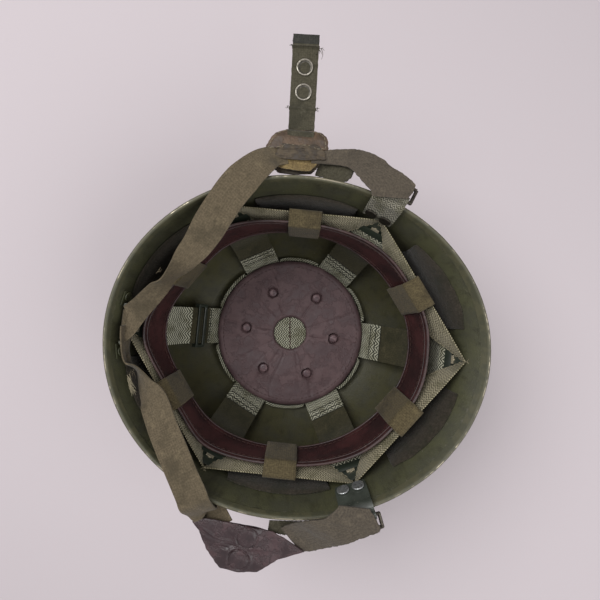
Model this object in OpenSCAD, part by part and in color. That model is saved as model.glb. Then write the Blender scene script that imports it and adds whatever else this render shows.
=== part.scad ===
// Steel helmet, lying crown down with its opening up
// +X is the front of the helmet, +Y the wearer's right, +Z out of the opening
// The origin is the middle of the small flat on the crown, on the surface that it rests on

/* [Shell] */
// Length of the bowl at its shoulder, before the brim flares
bowl_l = 257; // [235:0.5:275]
// Width of the bowl at its shoulder
bowl_w = 227; // [210:0.5:245]
// Height at which the wall starts to flare
bowl_h = 118; // [110:0.5:126]
// Fullness of the dome, 2 is an ellipse and more is squarer
bowl_fullness = 2.2; // [2:0.05:2.5]
// Wall of the steel
shell_t = 1.2; // [0.9:0.1:2]
// How far the brim flares out at the front
flare_front = 17; // [10:0.5:22]
// How far it flares out at the rear
flare_rear = 8; // [4:0.5:14]
// How far it flares out at the sides
flare_side = 7.7; // [5:0.1:12]
// Height of the rim at the front
rim_front = 156; // [150:0.5:162]
// Height of the rim at the rear
rim_rear = 160; // [154:0.5:166]
// Height of the rim at the sides
rim_side = 168; // [162:0.5:174]
// Distance of the bowl's middle in front of the crown
bowl_ahead = 3.8; // [0:0.2:8]
// Diameter of the small flat on the crown
crown_flat = 34; // [20:1:44]
// Thickness of the edge strip's steel
binding_t = 0.5; // [0.4:0.1:1]
// Height of the edge strip
binding_h = 3.6; // [2.5:0.1:6]

/* [Felt pads] */
// Angle that each felt pad takes round the wall
pad_angle = 36; // [24:1:40]
// Height of the pads' lower edge
pad_low = 100; // [90:1:112]
// Height of the pads' upper edge
pad_high = 145; // [138:0.5:150]
// Thickness of a pad in its middle
pad_t = 4.2; // [3:0.1:5]
// Thickness of a pad at its edge
pad_edge_t = 1.6; // [1:0.1:2.4]

/* [Web and sweatband] */
// Height of the web's corners
web_top = 144; // [138:0.5:148]
// Gap between the web's corners and the wall
web_gap = 1; // [0.6:0.1:3]
// Width of the herringbone web
web_w = 25; // [20:0.5:30]
// Thickness of the herringbone web
web_t = 1; // [0.8:0.1:1.6]
// Length of the sweatband's upper edge oval
band_l = 220; // [205:0.5:224]
// Width of the sweatband's upper edge oval
band_w = 189; // [178:0.5:190]
// Height of the sweatband's upper edge
band_top = 140; // [134:0.5:142]
// Width of the sweatband
band_h = 32; // [26:0.5:36]
// Thickness of the sweatband
band_t = 1.6; // [1.2:0.1:2.4]
// How far its lower edge is drawn in along the length
band_draw_l = 6.5; // [4:0.1:12]
// How far its lower edge is drawn in across the width
band_draw_w = 2.2; // [1:0.1:3]
// How far the sweatband's upper edge sits behind the crown
band_back = 1.5; // [0:0.5:4]
// How square its oval is, where 2 is an ellipse
band_square = 2.2; // [2:0.05:2.6]
// Width of the loops that grip the sweatband
loop_w = 25; // [20:0.5:28]
// Thickness of the loops' webbing
loop_t = 1.2; // [1:0.1:2]

/* [Anchors] */
// Width of an anchor plate across its slot
plate_w = 26; // [22:0.5:28]
// Height of an anchor plate
plate_h = 19; // [15:0.5:21]
// Thickness of an anchor plate
plate_t = 1.2; // [1:0.1:2]
// Diameter of the anchor rivets
anchor_d = 3.2; // [2.5:0.1:5]
// Length of the bar on an anchor rivet
anchor_bar = 6.5; // [5:0.1:9]

/* [Crown] */
// Diameter of the crown pad
crown_d = 145; // [120:1:152]
// Height of the crown pad's upper face
crown_z = 34; // [28:0.5:44]
// Thickness of the crown pad
crown_t = 4; // [3:0.1:5.5]
// Diameter of its centre hole
crown_hole = 32; // [20:1:40]
// Diameter of its vent holes
vent_d = 9; // [6:0.5:11]
// Diameter of the circle of vent holes
vent_circle = 88; // [70:1:100]
// Width of the crown straps
crown_strap_w = 34; // [26:0.5:38]
// Thickness of the crown straps
crown_strap_t = 1.6; // [1.2:0.1:2.2]
// Length of the backing's tabs outside the pad
tab_reach = 17; // [10:0.5:24]
// Thickness of the backing
backing_t = 1; // [0.8:0.1:1.6]
// Diameter of the slide's wire
slide_d = 3; // [2.4:0.1:4]

/* [Harness] */
// Width of the chin straps
strap_w = 22; // [18:0.5:25]
// Thickness of the chin straps
strap_t = 1.6; // [1.2:0.1:2.2]
// Width of the front tabs
tab_w = 24; // [20:0.5:28]
// Thickness of the front tabs
tab_t = 1.6; // [1.2:0.1:2.2]
// Diameter of the tab rivets' heads
rivet_head_d = 9.5; // [7:0.5:11]
// Diameter of the tab rivets' shanks
rivet_d = 4; // [3:0.1:5]
// Spacing of the two rivets in a tab
rivet_pitch = 11.6; // [10:0.1:14]
// Wire of the rings
ring_d = 2.6; // [2:0.1:3.4]
// Length of a ring from bar to bar
ring_reach = 10.5; // [9.5:0.5:14]
// Width of a ring between its sides
ring_w = 25.5; // [25:0.5:30]
// Length of the rear bracket's bar
bracket_w = 26; // [24:0.5:32]
// Length of the closing strap past the chin cup
closing_l = 68; // [58:1:100]
// Width of the closing strap
closing_w = 19.5; // [16:0.5:22]
// Rise of the closing strap from the cup, as a slope
closing_rise = 4; // [0:1:15]
// Spacing of the press studs
snap_pitch = 17.5; // [15:0.5:20]
// Diameter of the press studs
snap_d = 12; // [10:0.5:14]
// Bore of a press-stud socket
socket_d = 5; // [4:0.1:6]
// Thickness of the leather
leather_t = 2; // [1.5:0.1:3]

/* [Hidden] */

gap = 0.3;
$fn = 48;
around = 64;
corners = 6;
step_angle = 360 / corners;
flare_curve = 2.2;

// Colours, as the photograph shows them
paint = "#4b4f2b";
steel = "#8d8a80";
felt = "#5d5249";
web_green = "#8b8a68";
tape = "#6a5a3a";
oxblood = "#4a1b1e";
mauve = "#5c3a42";
strap_tan = "#6b5f48";
plate_green = "#27331f";
suede = "#a08a58";

// Small helpers
function mix(a, b, u) = a + (b - a) * u;
function unit(v) = v / norm(v);
function flat_perp(v) = unit([-v.y, v.x, 0]);
function three_way(t, side, front, rear) =
    mix(side, cos(t) > 0 ? front : rear, pow(cos(t), 2));
function joined(lists) = [for (l = lists) for (p = l) p];

// The bowl's outer surface, a mm inside it where off is a
function flare(t) = three_way(t, flare_side, flare_front, flare_rear);
function rim_z(t) = three_way(t, rim_side, rim_front, rim_rear);
flat_angle = asin(pow(crown_flat / bowl_l, bowl_fullness / 2));
flat_cos = pow(cos(flat_angle), 2 / bowl_fullness);
function dome_share(z, off) =
    let (c = flat_cos * (1 - (z - off) / (bowl_h - off)))
    pow(sin(acos(pow(max(0, min(1, c)), bowl_fullness / 2))), 2 / bowl_fullness);
function skirt_out(t, z) =
    flare(t) * pow(max(0, z - bowl_h) / (rim_z(t) - bowl_h), flare_curve);
function wall_pt(t, z, off) =
    let (k = z < bowl_h ? dome_share(z, off) : 1, f = skirt_out(t, z) - off)
    [bowl_ahead * min(1, z / bowl_h) + (bowl_l / 2 + f) * k * cos(t),
     (bowl_w / 2 + f) * k * sin(t), z];
// Azimuth of the wall's outward normal at a point of the oval
function wall_az(t) = atan2(bowl_l * sin(t), bowl_w * cos(t));
// A point given by its angle round the rim, its distance outside the rim and its height above it
function rim_pt(s) =
    [bowl_ahead + (bowl_l / 2 + flare(s[0]) + s[1]) * cos(s[0]),
     (bowl_w / 2 + flare(s[0]) + s[1]) * sin(s[0]), rim_z(s[0]) + s[2]];

// A solid through rings of points. Each ring has as many points on its one side as on its other,
// and both sides are cut into triangles the same way. Turned is for rings that run the other way
module skin(rings, closed = false, turned = false) {
    n = len(rings);
    m = len(rings[0]);
    last = closed ? n - 1 : n - 2;
    sides = [for (i = [0:last], j = [0:m - 1])
        let (a = i * m + j, b = i * m + (j + 1) % m, c = ((i + 1) % n) * m + (j + 1) % m,
             d = ((i + 1) % n) * m + j)
        each turned && j >= m / 2 ? [[a, d, b], [b, d, c]] : [[a, c, b], [a, d, c]]];
    ends = closed ? [] : [for (j = [0:m / 2 - 2])
        let (a = j, b = j + 1, c = m - 2 - j, d = m - 1 - j, e = (n - 1) * m)
        each [[a, b, d], [b, c, d], [e + a, e + d, e + b], [e + b, e + d, e + c]]];
    faces = concat(sides, ends);
    polyhedron(points = joined(rings),
               faces = turned ? [for (f = faces) [f[0], f[2], f[1]]] : faces);
}

// A smooth run of stations through the ones that are given
function spline(p, i, u) =
    let (a = p[max(0, i - 1)], b = p[i], c = p[i + 1], d = p[min(len(p) - 1, i + 2)])
    0.5 * (2 * b + (c - a) * u + (2 * a - 5 * b + 4 * c - d) * u * u
        + (3 * b - a - 3 * c + d) * u * u * u);
function smooth(p, k) =
    concat([for (i = [0:len(p) - 2], j = [0:k - 1]) spline(p, i, j / k)], [p[len(p) - 1]]);

// Webbing along stations [x, y, z, roll], where roll turns it on its edge
function tangent(p, i) =
    unit([for (a = [0:2]) p[min(len(p) - 1, i + 1)][a] - p[max(0, i - 1)][a]]);
function webbing_ring(c, across, normal, w, t) =
    [c - across * w / 2 + normal * t / 2, c + across * w / 2 + normal * t / 2,
     c + across * w / 2 - normal * t / 2, c - across * w / 2 - normal * t / 2];
function webbing_rings(p, w, t, neck = 1) =
    [for (i = [0:len(p) - 1])
        let (tan = tangent(p, i), side = flat_perp(tan), up = cross(tan, side),
             across = side * cos(p[i][3]) + up * sin(p[i][3]), normal = cross(tan, across))
        webbing_ring([p[i][0], p[i][1], p[i][2]], across, normal,
                     w * gathered(neck, i), t)];
module webbing(p, w, t, neck = 1)
    skin(webbing_rings(p, w, t, neck), turned = true);

// Stations given on the rim as [angle, out, up, roll]
function on_rim(list) = [for (s = list) let (p = rim_pt(s)) [p.x, p.y, p.z, s[3]]];

// Shell
dome_rings = 12;
skirt_rings = 6;
function level(i) =
    i <= dome_rings
        ? let (c = pow(cos(mix(flat_angle, 90, i / dome_rings)), 2 / bowl_fullness))
          bowl_h * (flat_cos - c) / flat_cos
        : bowl_h;
function shell_ring(i, off) =
    [for (j = [0:around - 1])
        let (t = j * 360 / around,
             z = i <= dome_rings ? off + level(i) * (bowl_h - off) / bowl_h
                 : mix(bowl_h, rim_z(t), (i - dome_rings) / skirt_rings))
        wall_pt(t, z, off)];
shell_rings = dome_rings + skirt_rings;

module shell() {
    color(paint) difference() {
        skin(concat([for (i = [0:shell_rings]) shell_ring(i, 0)],
                    [for (i = [shell_rings:-1:0]) shell_ring(i, shell_t)]));
        tab_rivet_places() cylinder(d = rivet_d + 2 * gap, h = 12, center = true);
        bracket_rivet_places() cylinder(d = rivet_d + 2 * gap, h = 12, center = true);
    }
}

module rim_binding() {
    slack = gap;
    outer = slack + binding_t;
    color(steel) skin([for (j = [0:around - 1])
        let (t = j * 360 / around, z = rim_z(t))
        [wall_pt(t, z - binding_h, -outer), wall_pt(t, z, -outer) + [0, 0, outer],
         wall_pt(t, z, shell_t + outer) + [0, 0, outer],
         wall_pt(t, z - binding_h, shell_t + outer),
         wall_pt(t, z - binding_h, shell_t + slack),
         wall_pt(t, z, shell_t + slack) + [0, 0, slack],
         wall_pt(t, z, -slack) + [0, 0, slack], wall_pt(t, z - binding_h, -slack)]],
        closed = true, turned = true);
}

// Felt pads, thickest in the middle
pad_steps = 8;
function pad_swell(u, v) = mix(pad_edge_t, pad_t, sqrt(max(0, sin(180 * u) * sin(180 * v))));
module wall_pad(i) {
    middle = (i + 0.5) * step_angle;
    seat = shell_t + 2 * gap;
    rows = 5;
    color(felt) skin([for (k = [0:pad_steps])
        let (u = k / pad_steps, t = middle + pad_angle * (u - 0.5),
             drawn = 2.5 * pow(2 * u - 1, 2))
        concat([for (r = [0:rows])
                   wall_pt(t, mix(pad_low + drawn, pad_high - drawn, r / rows), seat)],
               [for (r = [rows:-1:0])
                   wall_pt(t, mix(pad_low + drawn, pad_high - drawn, r / rows),
                           seat + pad_swell(u, r / rows))])], turned = true);
}

// Corners of the web, on the wall at each sixth of a turn
function corner_angle(i) =
    let (p = step_angle * i) atan2(bowl_l * sin(p), bowl_w * cos(p));
function corner_top(i) = wall_pt(corner_angle(i), web_top, shell_t + web_gap);
function web_mid(i) = mix(corner_top(i), corner_top((i + 1) % corners), 0.5);
function web_az(i) =
    let (d = corner_top((i + 1) % corners) - corner_top(i)) atan2(d.y, d.x) - 90;
function web_out(i) =
    let (m = web_mid(i), az = web_az(i)) m.x * cos(az) + m.y * sin(az);

// Sweatband: an oval at the upper edge and a smaller one at the lower edge, both drawn in where
// the sides of the web would cross them, with a bulge between
band_bulge = 0.8;
band_corner = 36;
// How square the lower edge's oval is
band_square_low = 1.95;
// Least distance from the bowl's outside to the sweatband's upper edge, from front to rear and
// from side to side, both together
band_room_l = 36;
band_room_w = 38;
function band_x0(v) = -band_back * (1 - v) - v;
function band_oval(az, v) =
    let (a = min(band_l, bowl_l - band_room_l) / 2 - band_draw_l * v,
         b = min(band_w, bowl_w - band_room_w) / 2 - band_draw_w * v,
         n = mix(band_square, band_square_low, v))
    band_x0(v) * cos(az) + pow(pow(abs(cos(az)) / a, n)
        + pow(abs(sin(az)) / b, n), -1 / n);
// Distance from the crown's axis to the sweatband's outside along an azimuth
function band_reach(az, v) =
    let (inside = 4.6 + 2 * v, h = band_corner / 2)
    pow(norm([pow(1 / band_oval(az, v), h), for (i = [0:corners - 1])
        pow(max(0, cos(az - web_az(i))) / (web_out(i) - inside), h)]), -1 / h);
function band_pt(az, v, off) =
    let (r = band_reach(az, v) - off) [r * cos(az), r * sin(az), band_top - band_h * v];
module sweatband() {
    color(oxblood) skin([for (j = [0:around - 1])
        let (t = j * 360 / around)
        [band_pt(t, 0, 0), band_pt(t, 0, band_t), band_pt(t, 0.5, band_t - band_bulge),
         band_pt(t, 1, band_t), band_pt(t, 1, 0), band_pt(t, 0.5, -band_bulge)]],
        closed = true, turned = true);
}

// The loops draw each side of the web in until its lower edge lies on the sweatband
function web_lean(i) =
    web_out(i) - band_reach(web_az(i), 0.6) - band_bulge - 2 * gap - web_t;
function web_drop(i) = sqrt(pow(web_w, 2) - pow(web_lean(i), 2));
module head_web(i) {
    a = corner_top(i);
    b = corner_top((i + 1) % corners);
    inward = -flat_perp(a - b);
    corner_w = 4;
    steps = 12;
    share = 0.085;
    color(web_green) skin([for (k = [0:steps])
        let (u = mix(share, 1 - share, k / steps), swell = sin(180 * u),
             top = mix(a, b, u) - [0, 0, 1.2 * sin(180 * u)],
             depth = mix(corner_w, web_drop(i), swell), lean = web_lean(i) * swell)
        [top, top + [0, 0, -depth] + inward * lean,
         top + [0, 0, -depth] + inward * (lean + web_t), top + inward * web_t]]);
}

// Loops of webbing round the web and the sweatband at each mid side
module web_loop(i) {
    az = web_az(i);
    m = web_mid(i);
    side = -m.x * sin(az) + m.y * cos(az);
    slack = 2 * gap;
    // The sweatband's outside at v down it, at the loop's two edges and its middle
    places = [for (k = [-0.6, 0, 0.6]) atan2(side + k * loop_w, band_reach(az, 0))];
    top = [for (d = places) band_reach(az + d, 0) * cos(d)];
    bottom = [for (d = places) band_reach(az + d, 1) * cos(d)];
    in_top = min(top) - band_t - slack;
    in_low = min(bottom) - band_t - slack;
    out_top = web_out(i) + slack;
    out_mid = web_out(i) - web_lean(i) + slack;
    out_low = max(bottom) + slack + gap;
    low = band_top - band_h - slack;
    mid = web_top - web_drop(i) - slack;
    high = web_top + slack;
    color(tape) rotate(az) translate([0, side + loop_w / 2, 0]) rotate([90, 0, 0])
        linear_extrude(loop_w) difference() {
            polygon([[in_low - loop_t, low - loop_t], [in_top - loop_t, band_top + slack],
                     [out_top - 3 - loop_t, high + loop_t], [out_top, high + loop_t],
                     [out_top + loop_t, high - 1], [out_mid + loop_t, mid - 0.5],
                     [out_low + loop_t, low - loop_t]]);
            polygon([[in_low, low], [in_top, band_top + slack - 0.4], [out_top - 3, high],
                     [out_top - 0.4, high], [out_top, high - 1.4], [out_mid, mid],
                     [out_low, low]]);
        }
}

// Anchor plates: triangles that lean in from the wall, with a slot for the crown strap
plate_lean = 34;
plate_in = 2.4;
plate_down = 4;
module at_corner(i) {
    top = corner_top(i);
    az = wall_az(corner_angle(i));
    translate(top) rotate(az) translate([-plate_in, 0, -plate_down])
        rotate([0, plate_lean, 0]) children();
}
module anchor_plate(i) {
    slot_w = plate_w - 7;
    color(plate_green) at_corner(i) rotate([90, 0, 90])
        translate([0, 0, -plate_t / 2]) linear_extrude(plate_t) difference() {
            polygon([[-2.5, 0], [2.5, 0], [plate_w / 2, 3.5 - plate_h],
                     [plate_w / 2 - 1.5, -plate_h], [1.5 - plate_w / 2, -plate_h],
                     [-plate_w / 2, 3.5 - plate_h]]);
            translate([-slot_w / 2, 2 - plate_h]) square([slot_w, 3]);
            translate([0, -plate_h * 0.42]) circle(d = anchor_d + 2 * gap, $fn = 24);
        }
}
module anchor_rivets() {
    head_t = 1.2;
    foot_t = 1;
    for (i = [0:corners - 1]) color(steel) at_corner(i) translate([0, 0, -plate_h * 0.42]) {
        translate([-plate_t / 2 - gap - head_t, -anchor_bar / 2, -1.4])
            cube([head_t, anchor_bar, 2.8]);
        translate([-plate_t / 2 - gap - 0.1, 0, 0]) rotate([0, 90, 0])
            cylinder(d = anchor_d, h = plate_t + 2 * gap + foot_t, $fn = 24);
        translate([plate_t / 2 + gap, 0, 0]) rotate([0, 90, 0])
            cylinder(d = anchor_d + 2, h = foot_t, $fn = 24);
    }
}

// Crown straps, from the backing's tabs up to the plates' slots. Each has three straight
// stretches, because it bows out behind the sweatband, and the slide runs on the first
strap_in = crown_d / 2 + tab_reach - 11;
tab_out = strap_in + 8;
// The crown pad sits at its height, or higher where the bowl would be too narrow for the backing
crown_side = 2;
backing_lift = 6;
wide_share = min(0.97, (tab_out + crown_side) / (min(bowl_w, bowl_l) / 2 - shell_t));
crown_at = max(crown_z, bowl_h * (1 - pow(1 - pow(wide_share, bowl_fullness), 1 / bowl_fullness))
                        - backing_lift);
strap_in_z = crown_at + backing_lift;
strap_bow = 8;
function strap_az(i) = let (p = corner_top(i)) atan2(p.y, p.x);
function strap_points(i) =
    let (p = corner_top(i),
         s = [strap_in, strap_in_z],
         e = [norm([p.x, p.y]) - plate_in - (plate_h - 2.5) * sin(plate_lean) - 2.8,
              p.z - plate_down - (plate_h - 1) * cos(plate_lean)],
         u = unit(e - s), n = [u.y, -u.x], l = norm(e - s))
    [s, s + u * l * 0.38 + n * strap_bow, s + u * l * 0.72 + n * strap_bow * 0.9, e];
function strap_slope(i) = let (d = strap_points(i)[1] - strap_points(i)[0]) atan2(d.y, d.x);
module along_strap(i, from) {
    rotate(strap_az(i)) translate([strap_in, 0, strap_in_z]) rotate([0, -strap_slope(i), 0])
        translate([from, 0, 0]) children();
}
// Outline of a strip of thickness t above a run of points, seen from the side
function strip_outline(p, t) =
    let (n = len(p), up = [for (i = [0:n - 1])
        let (d = unit(p[min(n - 1, i + 1)] - p[max(0, i - 1)])) [-d.y, d.x] * t])
    concat(p, [for (i = [n - 1:-1:0]) p[i] + up[i]]);
module strap_stretch(p, w)
    rotate([90, 0, 0]) translate([0, 0, -w / 2]) linear_extrude(w)
        polygon(strip_outline(p, crown_strap_t));
module crown_strap(i) {
    p = strap_points(i);
    neck = mix(p[2], p[3], 0.6);
    neck_w = plate_w - 11;
    color(i == 3 ? web_green : tape) rotate(strap_az(i)) {
        strap_stretch([p[0], p[1], p[2], neck], crown_strap_w);
        strap_stretch([neck, p[3]], neck_w);
    }
}
module crown_backing() {
    disc_r = crown_d / 2 + 0.5;
    low = crown_at - crown_t - 2 * gap - backing_t;
    tab_low = low + gap;
    tab_in = disc_r - 5;
    rise = strap_in_z - 2 * gap - backing_t - tab_low;
    color(web_green) {
        difference() {
            translate([0, 0, low]) cylinder(r = disc_r, h = backing_t, $fn = 96);
            translate([0, 0, low - 1]) cylinder(d = 5, h = backing_t + 2);
        }
        for (i = [0:corners - 1]) rotate(strap_az(i)) rotate([90, 0, 0])
            translate([0, 0, -crown_strap_w / 2]) linear_extrude(crown_strap_w)
                polygon([[tab_in, tab_low], [disc_r + 1, tab_low], [tab_out, tab_low + rise + 2],
                         [tab_out, tab_low + rise + 2 + backing_t],
                         [strap_in - 2, tab_low + rise - 1.5 + backing_t],
                         [disc_r, tab_low + backing_t], [tab_in, tab_low + backing_t]]);
    }
}
module crown_pad() {
    r = crown_d / 2;
    hole = crown_hole / 2;
    flat_to = r - 18;
    color(mauve) difference() {
        translate([0, 0, crown_at - crown_t]) rotate_extrude($fn = 96)
            polygon([[hole, 0.6], [hole + 1, 0], [r - 2, 0], [r, 1], [r, 2.2], [r - 2.5, crown_t],
                     [r - 8, crown_t + 0.5], [flat_to, crown_t], [hole + 1.2, crown_t],
                     [hole, crown_t - 0.8]]);
        for (i = [0:corners - 1]) rotate(step_angle * i - 1.5)
            translate([vent_circle / 2, 0, crown_at - crown_t - 1])
                cylinder(d = vent_d, h = crown_t + 2.5);
    }
}
module crown_slide() {
    inner_w = crown_strap_w + 2 * gap + 1;
    inner_h = crown_strap_t + 2 * gap + 0.4;
    reach = 11;
    start = 10;
    color(plate_green) along_strap(3, start) translate([0, 0, crown_strap_t / 2])
        difference() {
            translate([0, -inner_w / 2 - slide_d, -inner_h / 2 - slide_d / 2])
                cube([reach, inner_w + 2 * slide_d, inner_h + slide_d]);
            translate([-1, -inner_w / 2, -inner_h / 2])
                cube([reach + 2, inner_w, inner_h]);
            translate([slide_d, -inner_w / 2, 0])
                cube([reach - 2 * slide_d, inner_w, inner_h + slide_d]);
        }
}

// Front tabs, rings and folds. side is 1 for the wearer's right and -1 for the left
tab_angle = 65;
tab_low = web_top + 0.8;
tab_seat = shell_t + gap;
function tab_az(side) = wall_az(side * tab_angle);
function tab_base(side) = wall_pt(side * tab_angle, rim_z(tab_angle), 0);
bar_out = 3.5;
bar_up = 4.2;
tube_r = ring_d / 2 + gap;
module at_tab(side) {
    p = tab_base(side);
    translate([p.x, p.y, 0]) rotate(tab_az(side)) children();
}
// Outward distance of the wall from the rim's own place, at height z beside a tab
function tab_wall(z, off) = skirt_out(tab_angle, z) - flare(tab_angle) - off;
// A wide tab would dig into the curved wall at its sides, so it stands in by the wall's rise
tab_bow = pow(tab_w / 2, 2) / bowl_w * 1.2;
function tab_in(z) = tab_wall(z, tab_seat + tab_bow);
rim_top = rim_z(tab_angle);
tab_lift = rim_z(tab_angle + 6) - rim_top;
tab_inset = binding_t + 3 * gap;
module front_tab(side) {
    over = rim_top + binding_t + 3 * gap + tab_lift;
    steps = [for (k = [0:5]) mix(tab_low, rim_top, k / 5)];
    inset = tab_inset;
    color(side > 0 ? web_green : plate_green) difference() {
        at_tab(side) rotate([90, 0, 0]) translate([0, 0, -tab_w / 2]) linear_extrude(tab_w)
            difference() {
                union() {
                    polygon(concat([for (z = steps) [tab_in(z) - inset, z]],
                                   [[tab_in(rim_top) - inset, over], [0, over],
                                    [bar_out, bar_up + rim_top - tube_r],
                                    [bar_out, bar_up + rim_top + tube_r + tab_t],
                                    [-1.5, over + tab_t + 1.2],
                                    [tab_in(rim_top) - inset - tab_t, over + 0.4]],
                                   [for (i = [len(steps) - 1:-1:0])
                                       [tab_in(steps[i]) - inset - tab_t, steps[i]]]));
                    translate([bar_out, bar_up + rim_top]) circle(r = tube_r + tab_t);
                }
                translate([bar_out, bar_up + rim_top]) circle(r = tube_r);
            }
        tab_rivet_places() cylinder(d = rivet_d + 2 * gap, h = 14, center = true);
    }
}
tab_rivet_z = tab_low + 5.6;
tab_tilt = atan2(tab_in(tab_rivet_z + 4) - tab_in(tab_rivet_z - 4), 8);
module tab_rivet_places() {
    for (side = [1, -1], k = [-1, 1]) at_tab(side)
        translate([tab_in(tab_rivet_z), k * rivet_pitch / 2, tab_rivet_z])
            rotate([0, 90 + tab_tilt, 0]) children();
}
module front_tab_rivets() {
    head_t = 1.3;
    inside = tab_inset + tab_t + gap;
    tail = shell_t + tab_seat + tab_bow + 1.2;
    color(steel) tab_rivet_places() {
        translate([0, 0, -inside - head_t]) cylinder(d = rivet_head_d, h = head_t);
        translate([0, 0, -inside - 0.1]) cylinder(d = rivet_d, h = inside + tail + 0.1);
        translate([0, 0, tail]) cylinder(d1 = rivet_d + 3, d2 = rivet_d + 2, h = 1);
    }
}
module ring_bar(length) rotate([90, 0, 0]) cylinder(d = ring_d, h = length, center = true);
// The ring leans down a little from its bar
ring_tilt = 8;
module front_ring(side) {
    span = ring_w + ring_d;
    color(steel) at_tab(side) translate([bar_out, 0, bar_up + rim_top])
        rotate([0, ring_tilt, 0]) {
            ring_bar(span);
            translate([ring_reach, 0, 0]) ring_bar(span);
            for (k = [-1, 1]) translate([0, k * span / 2, 0]) {
                rotate([0, 90, 0]) cylinder(d = ring_d, h = ring_reach);
                sphere(d = ring_d);
                translate([ring_reach, 0, 0]) sphere(d = ring_d);
            }
        }
}

// Outer bar of a ring, in the helmet's own frame
bar_reach = bar_out + ring_reach * cos(ring_tilt);
bar_rise = bar_up + rim_top - ring_reach * sin(ring_tilt);
fold_r = ring_d / 2 + gap + strap_t / 2;

// Webbing folded round a bar, as an outline with a hole for the bar
module fold_outline(reach) {
    difference() {
        union() {
            circle(r = fold_r + strap_t / 2);
            translate([0, -fold_r - strap_t / 2]) square([reach, 2 * fold_r + strap_t]);
        }
        circle(r = fold_r - strap_t / 2);
        translate([0, strap_t / 2 - fold_r]) square([reach + 1, 2 * fold_r - strap_t]);
    }
}
module bar_fold(width, reach)
    rotate([90, 0, 0]) translate([0, 0, -width / 2]) linear_extrude(width) fold_outline(reach);

fold_reach = 6;
module front_fold(side) {
    color(strap_tan) at_tab(side) translate([bar_reach, 0, bar_rise])
        bar_fold(strap_w, fold_reach);
}

// Rear bracket: a bar on two legs, riveted to the rear wall
bracket_at = 178.5;
bracket_z = 147.9;
bracket_stand = 5.2;
foot_l = 10;
module at_bracket() {
    p = wall_pt(bracket_at, bracket_z, shell_t);
    translate(p) rotate(wall_az(bracket_at) + 180) children();
}
foot_tilt = atan2(skirt_out(180, bracket_z + 4) - skirt_out(180, bracket_z - 4), 8);
foot_t = 1.2;
// The rear wall's curve as a diameter, for how far it comes in at a distance to the side
rear_curve = pow(bowl_w, 2) / bowl_l;
leg_side = (bracket_w + ring_d) / 2;
foot_side = leg_side + foot_l / 2 + 0.6;
module at_foot(k) {
    translate([pow(foot_side, 2) / rear_curve + 2 * gap, k * foot_side, 0])
        rotate(-k * asin(2 * foot_side / rear_curve)) rotate([0, -foot_tilt, 0]) children();
}
module rear_bracket() {
    leg_in = pow(leg_side, 2) / rear_curve + 3 * gap;
    color(plate_green) at_bracket() difference() {
        union() {
            translate([bracket_stand, 0, 0]) rotate([90, 0, 0])
                cylinder(d = ring_d, h = bracket_w + 2 * ring_d, center = true);
            for (k = [-1, 1]) {
                translate([leg_in, k * leg_side - ring_d / 2, -ring_d / 2])
                    cube([bracket_stand - leg_in, ring_d, ring_d]);
                at_foot(k) translate([0, -foot_l / 2 - ring_d / 2, -4])
                    cube([foot_t, foot_l + ring_d / 2, 8]);
            }
        }
        bracket_rivet_spots() cylinder(d = rivet_d + 2 * gap, h = 12, center = true);
    }
}
module bracket_rivet_spots() {
    for (k = [-1, 1]) at_foot(k) translate([0, k * 1.2, 0]) rotate([0, 90, 0]) children();
}
module bracket_rivet_places() at_bracket() bracket_rivet_spots() children();
module rear_bracket_rivets() {
    head_t = 1.1;
    seat = foot_t + gap;
    tail = shell_t + 2 * gap + 0.5;
    color(steel) bracket_rivet_places() {
        translate([0, 0, seat]) cylinder(d = rivet_d + 3, h = head_t);
        translate([0, 0, -tail]) cylinder(d = rivet_d, h = tail + seat + 0.1);
        translate([0, 0, -tail - 1]) cylinder(d1 = rivet_d + 2, d2 = rivet_d + 3, h = 1);
    }
}

// Share of its width to which each rear strap is gathered where it twists, right then left
necks = [0.72, 0.86];
neck_rings = 9;
function gathered(neck, i) = mix(neck, 1, max(0, min(1, (i - neck_rings) / 4)));

// Hinge lines of the two halves: the rear end and the front end, as stations on the rim
hinge_rear = [[172, -15.3, -8.2], [-166.1, -13.2, -10.5]];
hinge_front = [[68.5, 14.2, 7], [-69.6, 13, 6.9]];
function half(side) = side > 0 ? 0 : 1;
function hinge_a(side) = rim_pt(hinge_rear[half(side)]);
function hinge_b(side) = rim_pt(hinge_front[half(side)]);
function hinge_dir(side) = unit(hinge_b(side) - hinge_a(side));
function along_hinge(side, s, roll) =
    let (p = hinge_a(side) + hinge_dir(side) * s) [p.x, p.y, p.z, roll];

// The stretch through the rear bracket: round its bar, then along the wall to both halves. Its
// stations are the angle round the rim, the distance outside it, the rise from the bar and a roll
fold_route = [[-176.7, -12.3, 0, 90], [-171.1, -11.8, 0.7, 86], [-168, -12.3, 1.6, 84]];
function by_wall(q) = let (p = rim_pt([q[0], q[1], 0])) [p.x, p.y, bracket_z + q[2], q[3]];
module rear_fold() {
    color(strap_tan) {
        at_bracket() translate([bracket_stand, 0, 0]) bar_fold(strap_w, 4.6);
        webbing([along_hinge(1, -2.6, 12), along_hinge(1, -0.8, 16)], strap_w * necks[0], strap_t);
        webbing(smooth(concat([for (q = fold_route) by_wall(q)], [along_hinge(-1, -0.8, 80)]), 3),
                strap_w * necks[1], strap_t);
    }
}

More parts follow.
